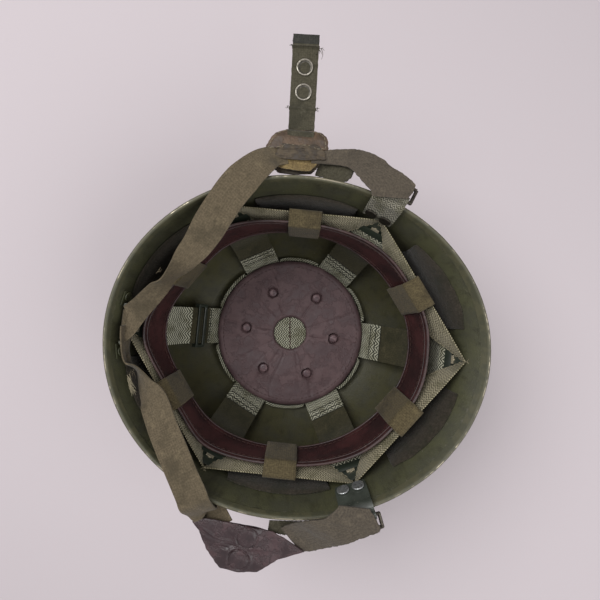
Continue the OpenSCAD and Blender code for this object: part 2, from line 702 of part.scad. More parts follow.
// Chin straps of the wearer's right half, from the rear bracket to the cup and from the ring to it
cup_slope = 4;
rear_route_right = [[160.6, -28.3, -3.6, 45], [154.4, -31.6, -0.8, 74], [148.6, -33.3, 1.6, 56],
    [140.9, -32.5, 3.1, 12], [132.2, -29, 4, 0], [120.7, -16.8, 5, 0], [110.7, -1.8, 5.9, 0],
    [103.4, 10.6, 2, -6], [99.8, 16, -4, -cup_slope], [96.4, 18.2, -7.4, -cup_slope]];
front_route_right = [[71.2, 17.8, 7.1, 0], [75.4, 17.9, 2.8, 0], [79.8, 17.6, -2.8, 2],
    [83.6, 17.4, -7.4, cup_slope], [88.2, 17.4, -7.95, cup_slope]];
tail_route_right = [[77.4, 15.6, -2.5, 4], [80.6, 13.6, -6.7, 6], [83.4, 12.6, -10.8, 4],
    [85.4, 12.2, -12.7, 2]];
// The same for the wearer's left half, to the stud plate
rear_route_left = [[-155.2, -22.3, -5.9, 34], [-149.2, -24.8, -2.1, 8], [-139.3, -22.3, 1.8, 0],
    [-131.6, -18.1, 4.2, 0], [-123.7, -11, 5.6, 0], [-116.1, -1.3, 7.5, 0],
    [-113.2, 4.8, 6.2, 0], [-110.4, 11.6, -4.4, 9], [-109, 12.8, -14.2, 3], [-104.4, 22, -13.4, 4]];
front_route_left = [[-72.4, 15.6, 3.4, 0], [-77, 16.6, -4.6, -4], [-81.4, 18.6, -11.8, -4],
    [-85.8, 22.6, -13, -4]];
tail_route_left = [[-80, 16.6, -14.1, -4], [-83, 15.6, -15, -6], [-86.5, 14.4, -16.2, -8],
    [-90, 13.5, -17.3, -11]];

// A strap that starts on the hinge line, with its first edge laid along that line
edge_ahead = [6.3, 3.4];
module hinged_strap(side, route) {
    p = concat([let (b = hinge_b(side)) [b.x, b.y, b.z, 0]], on_rim(route));
    runs = smooth(p, 2);
    rings = webbing_rings(runs, strap_w, strap_t);
    edge = hinge_b(side) + edge_ahead[half(side)] * hinge_dir(side);
    start = webbing_ring(edge, -side * hinge_dir(side), [0, 0, 1], strap_w, strap_t);
    skin(concat([start], [for (i = [1:len(rings) - 1]) rings[i]]), turned = true);
}
module rear_strap(side, route) {
    roll = side > 0 ? [16, 24] : [80, 64];
    webbing(smooth(concat([along_hinge(side, 0.5, roll[0]), along_hinge(side, 8, roll[1])],
                          on_rim(route)), 2), strap_w, strap_t, necks[half(side)]);
}
module rear_strap_right() color(strap_tan) rear_strap(1, rear_route_right);
module rear_strap_left() color(strap_tan) rear_strap(-1, rear_route_left);
module front_strap_right() color(strap_tan) hinged_strap(1, front_route_right);
module front_strap_left() color(strap_tan) hinged_strap(-1, front_route_left);
module loose_end_right()
    color(strap_tan) webbing(smooth(on_rim(tail_route_right), 2), strap_w - 2, strap_t);
module loose_end_left()
    color(strap_tan) webbing(smooth(on_rim(tail_route_left), 2), strap_w - 2, strap_t);

// Chin cup, in a frame of its own outside the rim at the middle of the right side
cup_station = [93, 19.5, -9.3];
module at_cup() translate(rim_pt(cup_station)) rotate([-cup_slope, 0, 0]) children();
cup_reach = 16.6;
cup_outline = [[-25, -0.4], [-23.4, 5.1], [-19, 12.3], [-10.6, cup_reach - 0.1], [9, cup_reach - 0.1],
    [14.4, 15.6], [18.4, 11.7], [19.9, 3.6], [15, -5.9], [9, -8.5], [-10, -9], [-20, -7]];
lining_outline = [[-17.5, -4], [-9, 2], [9, 2.5], [16, -4], [12.5, -10], [9.5, -13.5],
    [-3.7, -15.4], [-14.8, -15], [-19.5, -11]];
module chin_cup() {
    color("#4a3524") at_cup() translate([0, 0, -leather_t]) linear_extrude(leather_t)
        polygon(cup_outline);
}
module chin_cup_lining() {
    color(suede) at_cup() translate([0, 0, -2 * leather_t - gap]) linear_extrude(leather_t)
        polygon(lining_outline);
}

// Closing strap: its rounded first edge lies along the cup's outer edge, and it stands out and
// up a little from there
closing_turn = 2.6;
closing_start = [-1, cup_reach + gap + strap_t / 2 + closing_w / 2 * sin(closing_turn),
    -leather_t / 2];
first_snap = 26;
end_fold = 12;
module at_closing() {
    at_cup() translate(closing_start) rotate([cup_slope + closing_rise, 0, closing_turn])
        children();
}
module snap_places() {
    for (k = [0, 1]) at_closing() translate([0, first_snap + k * snap_pitch, 0]) children();
}
module closing_strap() {
    color(strap_tan) difference() {
        at_closing() {
            translate([-closing_w / 2, 0, -strap_t / 2])
                cube([closing_w, closing_l, strap_t]);
            rotate([0, 90, 0]) cylinder(d = strap_t, h = closing_w, center = true, $fn = 24);
            translate([-closing_w / 2 + 0.5, closing_l - end_fold, 0])
                cube([closing_w - 1, end_fold, 1.5 * strap_t]);
        }
        snap_places() cylinder(d = socket_d + 3.4, h = 4 * strap_t, center = true);
    }
}
module snap_sockets() {
    flange = strap_t / 2 + gap;
    rim_t = 0.9;
    color(steel) snap_places() difference() {
        union() {
            cylinder(d = socket_d + 2.6, h = 2 * flange + 0.2, center = true);
            translate([0, 0, flange]) cylinder(d = snap_d, h = rim_t);
            translate([0, 0, -flange - rim_t]) cylinder(d = snap_d, h = rim_t);
        }
        cylinder(d = socket_d, h = 10, center = true);
    }
}

// Stud plate, sewn over the ends of the left half's straps
plate_station = [-100.5, 15.5, -8.6];
plate_slope = 4;
module at_stud_plate() translate(rim_pt(plate_station)) rotate([plate_slope, 0, 0]) children();
stud_outline = [[-31.6, 0], [-22.6, 3.6], [-13.3, 3], [1.5, 1.8], [14.3, 0.9], [27.3, -1.6],
    [38.8, -6.8], [51.4, -13.9], [34.8, -21.8], [26.2, -27.3], [19.4, -33.4], [6.6, -34.4],
    [-8.2, -33.2], [-14.3, -27], [-20.5, -18.1], [-26.2, -6.1]];
stud_spot = [9.2, -7.3];
stud_line = 106;
module stud_places() {
    for (k = [0, 1]) at_stud_plate() translate([stud_spot.x, stud_spot.y, 0])
        translate(k * snap_pitch * [cos(-stud_line), sin(-stud_line), 0]) children();
}
module stud_plate() {
    color(oxblood) difference() {
        at_stud_plate() translate([0, 0, -leather_t]) linear_extrude(leather_t)
            polygon(stud_outline);
        stud_places() cylinder(d = socket_d - 0.8 + 2 * gap, h = 12, center = true);
    }
}
module snap_studs() {
    post = leather_t + gap;
    color(steel) stud_places() {
        translate([0, 0, gap]) cylinder(d = snap_d, h = 1.2);
        translate([0, 0, -post - 2.6]) cylinder(d = socket_d - 0.8, h = post + 2.6 + gap + 0.1);
        translate([0, 0, -post - 0.8]) cylinder(d = snap_d - 2, h = 0.8);
    }
}

shell();
rim_binding();
wall_pad(0);  // wall_pad_1
wall_pad(1);  // wall_pad_2
wall_pad(2);  // wall_pad_3
wall_pad(3);  // wall_pad_4
wall_pad(4);  // wall_pad_5
wall_pad(5);  // wall_pad_6
anchor_plate(0);  // anchor_plate_1
anchor_plate(1);  // anchor_plate_2
anchor_plate(2);  // anchor_plate_3
anchor_plate(3);  // anchor_plate_4
anchor_plate(4);  // anchor_plate_5
anchor_plate(5);  // anchor_plate_6
anchor_rivets();
head_web(0);  // head_web_1
head_web(1);  // head_web_2
head_web(2);  // head_web_3
head_web(3);  // head_web_4
head_web(4);  // head_web_5
head_web(5);  // head_web_6
web_loop(0);  // web_loop_1
web_loop(1);  // web_loop_2
web_loop(2);  // web_loop_3
web_loop(3);  // web_loop_4
web_loop(4);  // web_loop_5
web_loop(5);  // web_loop_6
sweatband();
crown_strap(0);  // crown_strap_1
crown_strap(1);  // crown_strap_2
crown_strap(2);  // crown_strap_3
crown_strap(3);  // crown_strap_4
crown_strap(4);  // crown_strap_5
crown_strap(5);  // crown_strap_6
crown_backing();
crown_pad();
crown_slide();
front_tab(1);  // front_tab_right
front_tab(-1);  // front_tab_left
front_tab_rivets();
front_ring(1);  // front_ring_right
front_ring(-1);  // front_ring_left
front_fold(1);  // front_fold_right
front_fold(-1);  // front_fold_left
rear_bracket();
rear_bracket_rivets();
rear_fold();
rear_strap_right();
front_strap_right();
loose_end_right();
chin_cup();
chin_cup_lining();
closing_strap();
snap_sockets();
rear_strap_left();
front_strap_left();
loose_end_left();
stud_plate();
snap_studs();
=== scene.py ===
"""Steel helmet lying crown down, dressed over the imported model. Shapes are worked out in mm."""

import random
from math import acos, asin, atan2, cos, degrees, hypot, pi, radians, sin, sqrt

import bmesh
import bpy
from bpy.props import FloatProperty, FloatVectorProperty, PointerProperty
from mathutils import Matrix, Vector, noise


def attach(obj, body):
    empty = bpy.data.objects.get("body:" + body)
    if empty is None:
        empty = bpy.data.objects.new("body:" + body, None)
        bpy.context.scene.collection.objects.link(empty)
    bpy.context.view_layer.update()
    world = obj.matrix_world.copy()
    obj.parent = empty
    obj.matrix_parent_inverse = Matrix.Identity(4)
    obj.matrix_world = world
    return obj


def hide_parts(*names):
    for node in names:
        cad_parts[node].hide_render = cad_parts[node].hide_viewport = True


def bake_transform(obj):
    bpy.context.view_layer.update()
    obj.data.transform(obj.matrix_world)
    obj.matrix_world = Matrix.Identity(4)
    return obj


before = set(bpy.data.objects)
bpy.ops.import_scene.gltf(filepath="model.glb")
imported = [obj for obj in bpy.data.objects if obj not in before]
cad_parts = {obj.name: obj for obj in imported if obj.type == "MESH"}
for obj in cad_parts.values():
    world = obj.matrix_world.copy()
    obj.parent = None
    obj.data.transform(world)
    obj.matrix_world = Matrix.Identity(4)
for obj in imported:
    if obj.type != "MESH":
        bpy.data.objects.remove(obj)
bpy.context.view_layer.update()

bl_info = {
    "name": "Steel helmet",
    "version": (1, 0, 0),
    "blender": (4, 5, 0),
    "location": "View3D > Sidebar > Helmet",
    "description": "Builds the dressed pieces of a steel helmet over its packed model",
    "category": "Object",
}

MM = 0.001
# Points nearer than this, in metres, are one point in a piece, and in a copy of a CAD node
WELD, CAD_WELD = 2e-5, 2e-6


def linear(hex_colour):
    """Linear RGBA of an sRGB hex colour"""
    raw = [int(hex_colour[i:i + 2], 16) / 255 for i in (1, 3, 5)]
    return [c / 12.92 if c <= 0.04045 else ((c + 0.055) / 1.055) ** 2.4 for c in raw] + [1.0]


# Shapes shared with the source
BOWL_L, BOWL_W, BOWL_H, FULLNESS = 257.0, 227.0, 118.0, 2.2
FLARE = (7.7, 17.0, 8.0)
RIM = (168.0, 156.0, 160.0)
AHEAD, CROWN_FLAT, SHELL_T = 3.8, 34.0, 1.2
GAP = 0.3
WEB_TOP, WEB_W, WEB_T = 144.0, 25.0, 1.0
BAND_L, BAND_W, BAND_SHARPNESS = 220.0, 189.0, 36
BAND_TOP, BAND_H, BAND_T, BAND_BULGE = 140.0, 32.0, 1.6, 0.8
LOOP_W, LOOP_T = 25.0, 1.2
PLATE_H, PLATE_W, PLATE_LEAN, PLATE_IN, PLATE_DOWN = 19.0, 26.0, 34.0, 2.4, 4.0
CROWN_D, CROWN_Z, CROWN_T, CROWN_HOLE = 145.0, 34.0, 4.0, 32.0
VENT_CIRCLE = 88.0
CROWN_STRAP_W, CROWN_STRAP_T = 34.0, 1.6
STRAP_IN, STRAP_IN_Z = CROWN_D / 2 + 6, CROWN_Z + 6
STRAP_W, STRAP_T = 22.0, 1.6
TAB_W, TAB_T = 24.0, 1.6
LEATHER_T = 2.0


def sind(a):
    """Sine of an angle in degrees"""
    return sin(radians(a))


def cosd(a):
    """Cosine of an angle in degrees"""
    return cos(radians(a))


def mix(a, b, u):
    """A number u of the way from a to b"""
    return a + (b - a) * u


def three_way(t, values):
    """A number with its own values at the sides, front and rear, at station t round the helmet"""
    side, front, rear = values
    return mix(side, front if cosd(t) > 0 else rear, cosd(t) ** 2)


# Where the bowl's curve leaves the flat of the crown
FLAT_ANGLE = degrees(asin((CROWN_FLAT / BOWL_L) ** (FULLNESS / 2)))
FLAT_COS = cosd(FLAT_ANGLE) ** (2 / FULLNESS)


def dome_share(z, off):
    """Share of the shoulder's half width that the bowl reaches at height z"""
    c = FLAT_COS * (1 - (z - off) / (BOWL_H - off))
    return sin(acos(max(0.0, min(1.0, c)) ** (FULLNESS / 2))) ** (2 / FULLNESS)


def skirt_out(t, z):
    """How far the skirt flares beyond the shoulder at height z"""
    rise = max(0.0, z - BOWL_H) / (three_way(t, RIM) - BOWL_H)
    return three_way(t, FLARE) * rise ** 2.2


def wall_pt(t, z, off):
    """A point of the shell's wall, off mm inside its outer surface"""
    k = dome_share(z, off) if z < BOWL_H else 1.0
    f = skirt_out(t, z) - off
    return Vector((AHEAD * min(1.0, z / BOWL_H) + (BOWL_L / 2 + f) * k * cosd(t),
                   (BOWL_W / 2 + f) * k * sind(t), z))


def wall_az(t):
    """Direction in which the wall faces at station t"""
    return degrees(atan2(BOWL_L * sind(t), BOWL_W * cosd(t)))


def rim_pt(angle, out, up):
    """A point by the rim, at a station round it and so many mm out from its edge and up"""
    f = three_way(angle, FLARE) + out
    return Vector((AHEAD + (BOWL_L / 2 + f) * cosd(angle), (BOWL_W / 2 + f) * sind(angle),
                   three_way(angle, RIM) + up))


def corner_angle(i):
    """Station of one of the web's six corners"""
    return degrees(atan2(BOWL_L * sind(60 * i), BOWL_W * cosd(60 * i)))


def corner_top(i):
    """Upper end of a web corner, just inside the wall"""
    return wall_pt(corner_angle(i % 6), WEB_TOP, SHELL_T + 1)


def web_mid(i):
    """Middle of the upper edge of a web side"""
    return (corner_top(i) + corner_top(i + 1)) / 2


def web_az(i):
    """Direction in which a web side faces"""
    d = corner_top(i + 1) - corner_top(i)
    return degrees(atan2(d.y, d.x)) - 90


def web_out(i):
    """Distance of a web side from the crown's axis"""
    m, az = web_mid(i), web_az(i)
    return m.x * cosd(az) + m.y * sind(az)


# Direction and distance of each web side
SIDES = [(web_az(i), web_out(i)) for i in range(6)]


def band_reach(az, v):
    """Distance from the crown's axis to the sweatband's outside, v of the way down it"""
    a, b, n = BAND_L / 2 - 6.5 * v, BAND_W / 2 - 2.2 * v, mix(2.2, 1.95, v)
    oval = ((-1.5 * (1 - v) - v) * cosd(az)
            + ((abs(cosd(az)) / a) ** n + (abs(sind(az)) / b) ** n) ** (-1 / n))
    # A high power joins the oval to the flats along the web's sides
    total = (1 / oval) ** BAND_SHARPNESS
    for side_az, out in SIDES:
        total += (max(0.0, cosd(az - side_az)) / (out - (4.6 + 2 * v))) ** BAND_SHARPNESS
    return total ** (-1 / BAND_SHARPNESS)


def web_lean(i):
    """How far the lower edge of a web side leans in, to meet the sweatband"""
    return web_out(i) - band_reach(web_az(i), 0.6) - BAND_BULGE - 2 * GAP - WEB_T


def turned(v, az):
    """A point turned about the crown's axis by an azimuth"""
    return Vector((v[0] * cosd(az) - v[1] * sind(az), v[0] * sind(az) + v[1] * cosd(az), v[2]))


def spline(p, s):
    """Point at s of the way along a smooth curve through points, or through rows of numbers"""
    n = len(p) - 1
    i = min(n - 1, int(s * n))
    u = s * n - i
    a, b, c, d = p[max(0, i - 1)], p[i], p[i + 1], p[min(n, i + 2)]
    return [0.5 * (2 * b[k] + (c[k] - a[k]) * u + (2 * a[k] - 5 * b[k] + 4 * c[k] - d[k]) * u * u
                   + (3 * b[k] - a[k] - 3 * c[k] + d[k]) * u ** 3) for k in range(len(b))]


def wander(x, y=0.0, z=0.0):
    """Smooth noise from -1 to 1, the same on each run"""
    return noise.noise(Vector((x, y, z)))


# Mesh helpers
def made(bm, name, materials, weld=0.0, sharp=40):
    """Turns a bmesh into an object at the origin, smooth but for its sharp edges"""
    if weld:
        bmesh.ops.remove_doubles(bm, verts=bm.verts, dist=weld)
        bmesh.ops.dissolve_degenerate(bm, dist=1e-7, edges=bm.edges)
    mesh = bpy.data.meshes.new(name)
    bm.to_mesh(mesh)
    bm.free()
    piece = bpy.data.objects.new(name, mesh)
    bpy.context.scene.collection.objects.link(piece)
    for material in materials:
        mesh.materials.append(material)
    mesh.shade_smooth()
    mesh.set_sharp_from_angle(angle=radians(sharp))
    return piece


def sheet(name, cols, rows, place, materials, flat=(100, 100), weld=0.0, solid=False,
          paint=None, sharp=40, flip=False, closed=False):
    """A grid whose point (u, v) goes to place(u, v), or a closed solid where place(u, v, k) is
    its under side for k 0 and its upper side for k 1. UVs are in metres of the flat piece."""
    bm = bmesh.new()
    bmesh.ops.create_grid(bm, x_segments=cols, y_segments=rows, size=0.5)
    uv = bm.loops.layers.uv.new("flat")
    if solid:
        grown = bmesh.ops.extrude_face_region(bm, geom=bm.faces[:])
        for v in grown["geom"]:
            if isinstance(v, bmesh.types.BMVert):
                v.co.z = 1
        bmesh.ops.recalc_face_normals(bm, faces=bm.faces)
        if closed:
            ends = [f for f in bm.faces if abs(abs(f.calc_center_median().x) - 0.5) < 1e-6]
            bmesh.ops.delete(bm, geom=ends, context="FACES_ONLY")
    for face in bm.faces:
        centre = face.calc_center_median()
        if paint:
            face.material_index = paint(centre.x + 0.5, centre.y + 0.5, centre.z)
        for loop in face.loops:
            co = loop.vert.co
            loop[uv].uv = ((co.x + 0.5) * flat[0] * MM, (co.y + 0.5) * flat[1] * MM)
    for v in bm.verts:
        where = (v.co.x + 0.5, v.co.y + 0.5, v.co.z) if solid else (v.co.x + 0.5, v.co.y + 0.5)
        v.co = Vector(place(*where)) * MM
    if flip:
        bmesh.ops.reverse_faces(bm, faces=bm.faces)
    return made(bm, name, materials, weld, sharp)


def soften(piece, width):
    """Rounds a piece's hard edges by a width in mm"""
    bevel = piece.modifiers.new("rounded edges", "BEVEL")
    bevel.width = width * MM
    bevel.segments = 2
    bevel.limit_method = "ANGLE"
    bevel.angle_limit = radians(40)
    return piece


def copied(name, cad_node, materials, body, slot, width=0.25):
    """A welded copy of a CAD node with rounded edges, which stands for it"""
    bm = bmesh.new()
    bm.from_mesh(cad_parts[cad_node].data)
    bmesh.ops.remove_doubles(bm, verts=bm.verts, dist=CAD_WELD)
    bmesh.ops.dissolve_limit(bm, angle_limit=radians(2), verts=bm.verts, edges=bm.edges)
    piece = soften(made(bm, name, materials, sharp=35), width)
    return dress(piece, body, slot, cad_node)


def dress(piece, body, slot, *nodes):
    """Says which body a piece rides on and the CAD nodes it stands for. Its slot is not used."""
    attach(piece, body)
    if nodes:
        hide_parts(*nodes)
    return piece


def tube(bm, points, radius, sides=5):
    """Adds a thin thread or wire through points, in mm, to a bmesh"""
    rings = []
    for i, p in enumerate(points):
        ahead = Vector(points[min(len(points) - 1, i + 1)]) - Vector(points[max(0, i - 1)])
        turn = ahead.to_track_quat("Z", "X").to_matrix().to_4x4()
        r = radius(i / (len(points) - 1)) if callable(radius) else radius
        ring = bmesh.ops.create_circle(bm, segments=sides, radius=r * MM,
                                       matrix=Matrix.Translation(Vector(p) * MM) @ turn)
        rings.append(ring["verts"])
    for a, b in zip(rings, rings[1:]):
        for k in range(sides):
            bm.faces.new((a[k], a[(k + 1) % sides], b[(k + 1) % sides], b[k]))
    bm.faces.new(reversed(rings[0]))
    bm.faces.new(rings[-1])


def stitches(name, runs, material, body, slot, length=2.6, pitch=4.0, radius=0.32, lift=0.1):
    """Rows of thread stitches. Each run is a function from 0 to 1 to a point and the surface's
    upward direction, with its length in mm."""
    bm = bmesh.new()
    for run, total in runs:
        count = max(2, int(total / pitch))
        for i in range(count):
            mid = (i + 0.5) / count
            half = length / total / 2
            ends = []
            for s, h in ((-1, -0.6), (-0.6, 0.6), (0, 1), (0.6, 0.6), (1, -0.6)):
                p, up = run(min(1, max(0, mid + s * half)))
                ends.append(Vector(p) + Vector(up) * (h * radius + lift))
            tube(bm, ends, radius)
    piece = made(bm, name, [material])
    return dress(piece, body, slot)


# Materials
# Settings of a smooth range, which takes a value, what it runs from (1, 2) and what it runs to
# (3, 4), and of a mix of colours (6, 7), whose result is its third output. A noise's scale is one
# over the size of its features, in metres.
SMOOTH = {"interpolation_type": "SMOOTHSTEP"}
RGBA = {"data_type": "RGBA", "out": 2}


def node(tree, kind, inputs=None, out=0, **settings):
    """Adds a shader node with its settings and links, and gives the socket that it puts out"""
    new = tree.nodes.new("ShaderNode" + kind)
    for key, value in settings.items():
        setattr(new, key, value)
    for key, value in (inputs or {}).items():
        if isinstance(value, bpy.types.NodeSocket):
            tree.links.new(value, new.inputs[key])
        else:
            new.inputs[key].default_value = value
    return new.outputs[out] if new.outputs else None


def new_finish(name):
    """A material, its node tree, its shader and its Object coordinates"""
    material = bpy.data.materials.new(name)
    material.use_nodes = True
    tree = material.node_tree
    tree.nodes.clear()
    surface = node(tree, "BsdfPrincipled")
    node(tree, "OutputMaterial", {0: surface})
    place = node(tree, "TexCoord", out="Object")
    return material, tree, surface.node, place


def finish_shader(tree, shader, colour, height, depth_mm, rough, **fixed):
    """Links a colour, a bump and a roughness, and sets the numbers that are the same all over"""
    tree.links.new(colour, shader.inputs["Base Color"])
    bump = node(tree, "Bump", {"Height": height, "Distance": depth_mm * MM, "Strength": 1.0})
    tree.links.new(bump, shader.inputs["Normal"])
    if isinstance(rough, bpy.types.NodeSocket):
        tree.links.new(rough, shader.inputs["Roughness"])
    else:
        shader.inputs["Roughness"].default_value = rough
    for key, value in fixed.items():
        shader.inputs[key.replace("_", " ")].default_value = value


def olive_paint():
    """Olive enamel sprayed on pressed steel: dull, mottled, a little chipped close to the rim. Painted
    shade darkens it deep in the bowl.
    """
    tone = bpy.context.scene.helmet_colours
    material, tree, shader, place = new_finish("olive enamel on pressed steel with painted shade")
    down = node(tree, "SeparateXYZ", {0: place.node.outputs["UV"]}, out=1)
    # Painted shade: darker deep in the bowl, where shade falls. Broad blotches and faint runs in the
    # enamel
    painted_shade = node(tree, "MapRange", {0: down, 1: 30 * MM, 2: 120 * MM}, **SMOOTH)
    colour = node(tree, "Mix", {0: painted_shade, 6: list(tone.paint), 7: list(tone.shaded_paint)}, **RGBA)
    mottle = node(tree, "TexNoise",
                  {"Vector": place, "Scale": 1 / (30 * MM), "Detail": 5, "Roughness": 0.65})
    blotches = node(tree, "MapRange", {0: mottle, 1: 0.4, 2: 0.68, 4: 0.65}, **SMOOTH)
    colour = node(tree, "Mix", {0: blotches, 6: colour, 7: linear("#34342c")}, **RGBA)
    long_place = node(tree, "Mapping", {"Vector": place, "Scale": (1, 1, 0.25)})
    streak = node(tree, "TexNoise",
                  {"Vector": long_place, "Scale": 1 / (7 * MM), "Detail": 4, "Roughness": 0.65})
    runs = node(tree, "MapRange", {0: streak, 1: 0.48, 2: 0.74, 4: 0.6}, **SMOOTH)
    colour = node(tree, "Mix", {0: runs, 6: colour, 7: linear("#2a291d")}, **RGBA)
    # Grime, more of it at the rim
    grime = node(tree, "TexNoise",
                 {"Vector": place, "Scale": 1 / (9 * MM), "Detail": 5, "Roughness": 0.7})
    grime = node(tree, "MapRange", {0: grime, 1: 0.58, 2: 0.7}, **SMOOTH)
    rim_share = node(tree, "MapRange", {0: down, 2: 20 * MM, 3: 0.1, 4: 0.05}, **SMOOTH)
    grime = node(tree, "Math", {0: grime, 1: rim_share}, operation="MULTIPLY")
    colour = node(tree, "Mix", {0: grime, 6: colour, 7: linear("#35352a")}, **RGBA)
    # Chips along the rim and thin scratches
    near_rim = node(tree, "MapRange", {0: down, 2: 6.5 * MM, 3: 1.0, 4: 0.0}, **SMOOTH)
    chips = node(tree, "TexNoise",
                 {"Vector": place, "Scale": 1 / (4.2 * MM), "Detail": 5, "Roughness": 0.75})
    chips = node(tree, "MapRange", {0: chips, 1: 0.56, 2: 0.6}, **SMOOTH)
    chips = node(tree, "Math", {0: near_rim, 1: chips}, operation="MULTIPLY")
    drawn_out = node(tree, "Mapping", {"Vector": place, "Rotation": (0.3, 0.2, 0.7),
                                       "Scale": (1, 0.12, 0.2)})
    scratch = node(tree, "TexNoise",
                   {"Vector": drawn_out, "Scale": 1 / (1.6 * MM), "Detail": 2, "Roughness": 0.55})
    scratch = node(tree, "MapRange", {0: scratch, 1: 0.76, 2: 0.79, 4: 0.55}, **SMOOTH)
    worn = node(tree, "Math", {0: chips, 1: scratch}, operation="MAXIMUM")
    colour = node(tree, "Mix", {0: worn, 6: colour, 7: linear("#8d887c")}, **RGBA)
    grit = node(tree, "TexNoise",
                {"Vector": place, "Scale": 1 / (1.0 * MM), "Detail": 3, "Roughness": 0.55})
    grit = node(tree, "Math", {0: grit, 1: worn}, operation="SUBTRACT")
    dents = node(tree, "TexNoise",
                 {"Vector": place, "Scale": 1 / (24 * MM), "Detail": 2, "Roughness": 0.55})
    height = node(tree, "Math", {0: dents, 1: 2.2, 2: grit}, operation="MULTIPLY_ADD")
    rough = node(tree, "MapRange", {0: mottle, 1: 0.3, 2: 0.7, 3: 0.4, 4: 0.6}, **SMOOTH)
    finish_shader(tree, shader, colour, height, 0.3, rough, Specular_IOR_Level=0.4)
    return material


def edge_steel():
    """Rolled steel edging whose paint has worn off along its crest: olive and bright in turns. The
    bright crest is partly a painted highlight, standing for the rim's glints.
    """
    tone = bpy.context.scene.helmet_colours
    material, tree, shader, place = new_finish("worn steel edging with painted glints")
    around = node(tree, "TexNoise",
                  {"Vector": place, "Scale": 1 / (16 * MM), "Detail": 4, "Roughness": 0.7})
    over = node(tree, "SeparateXYZ", {0: place.node.outputs["UV"]}, out=1)
    # Pale steel along the crest: worn bare steel, and partly a painted highlight whose breaks stand
    # for glints along the rim
    rise = node(tree, "MapRange", {0: over, 1: 0.4, 2: 0.45}, **SMOOTH)
    fall = node(tree, "MapRange", {0: over, 1: 0.48, 2: 0.54, 3: 1.0, 4: 0.0}, **SMOOTH)
    crest = node(tree, "Math", {0: rise, 1: fall}, operation="MULTIPLY")
    rubbed = node(tree, "MapRange", {0: around, 1: 0.5, 2: 0.64, 3: 0.08, 4: 0.8}, **SMOOTH)
    bare_and_glint = node(tree, "Math", {0: crest, 1: rubbed}, operation="MULTIPLY")
    patches = node(tree, "TexNoise",
                   {"Vector": place, "Scale": 1 / (7 * MM), "Detail": 3, "Roughness": 0.55})
    patches = node(tree, "MapRange", {0: patches, 1: 0.4, 2: 0.6}, **SMOOTH)
    colour = node(tree, "Mix", {0: patches, 6: linear("#45432f"), 7: linear("#3a3a29")}, **RGBA)
    colour = node(tree, "Mix", {0: bare_and_glint, 6: colour, 7: list(tone.bare_steel)}, **RGBA)
    grit = node(tree, "TexNoise",
                {"Vector": place, "Scale": 1 / (1.5 * MM), "Detail": 3, "Roughness": 0.55})
    height = node(tree, "Math", {0: grit, 1: 0.6, 2: around}, operation="MULTIPLY_ADD")
    rough = node(tree, "MapRange", {0: bare_and_glint, 3: 0.6, 4: 0.33}, **SMOOTH)
    finish_shader(tree, shader, colour, height, 0.2, rough)
    metal = node(tree, "Math", {0: bare_and_glint, 1: 0.75}, operation="MULTIPLY")
    tree.links.new(metal, shader.inputs["Metallic"])
    return material


def painted_metal(name, tint, chipped=0.62):
    """Sheet or wire fittings under a thick dark enamel: smooth, with bright nicks"""
    material, tree, shader, place = new_finish(name)
    mottle = node(tree, "TexNoise",
                  {"Vector": place, "Scale": 1 / (7 * MM), "Detail": 3, "Roughness": 0.55})
    colour = node(tree, "Mix", {0: mottle, 6: linear(tint), 7: linear("#151b12")}, **RGBA)
    nick = node(tree, "TexNoise",
                {"Vector": place, "Scale": 1 / (1.8 * MM), "Detail": 4, "Roughness": 0.7})
    nick = node(tree, "MapRange", {0: nick, 1: chipped, 2: chipped + 0.05}, **SMOOTH)
    colour = node(tree, "Mix", {0: nick, 6: colour, 7: linear("#8c8573")}, **RGBA)
    height = node(tree, "Math", {0: mottle, 1: nick}, operation="SUBTRACT")
    rough = node(tree, "MapRange", {0: mottle, 1: 0.3, 2: 0.7, 3: 0.32, 4: 0.5}, **SMOOTH)
    finish_shader(tree, shader, colour, height, 0.15, rough)
    return material


def bare_metal(name, tint, dull):
    """Plated steel fasteners, scratched and gone grey with age"""
    material, tree, shader, place = new_finish(name)
    stain = node(tree, "TexNoise",
                 {"Vector": place, "Scale": 1 / (2.4 * MM), "Detail": 4, "Roughness": 0.65})
    dulled = node(tree, "MapRange", {0: stain, 1: 0.42, 2: 0.66}, **SMOOTH)
    colour = node(tree, "Mix", {0: dulled, 6: linear(tint), 7: linear(dull)}, **RGBA)
    height = node(tree, "TexNoise",
                  {"Vector": place, "Scale": 1 / (0.7 * MM), "Detail": 3, "Roughness": 0.55})
    rough = node(tree, "MapRange", {0: stain, 1: 0.35, 2: 0.7, 3: 0.3, 4: 0.6}, **SMOOTH)
    finish_shader(tree, shader, colour, height, 0.08, rough, Metallic=0.85)
    return material


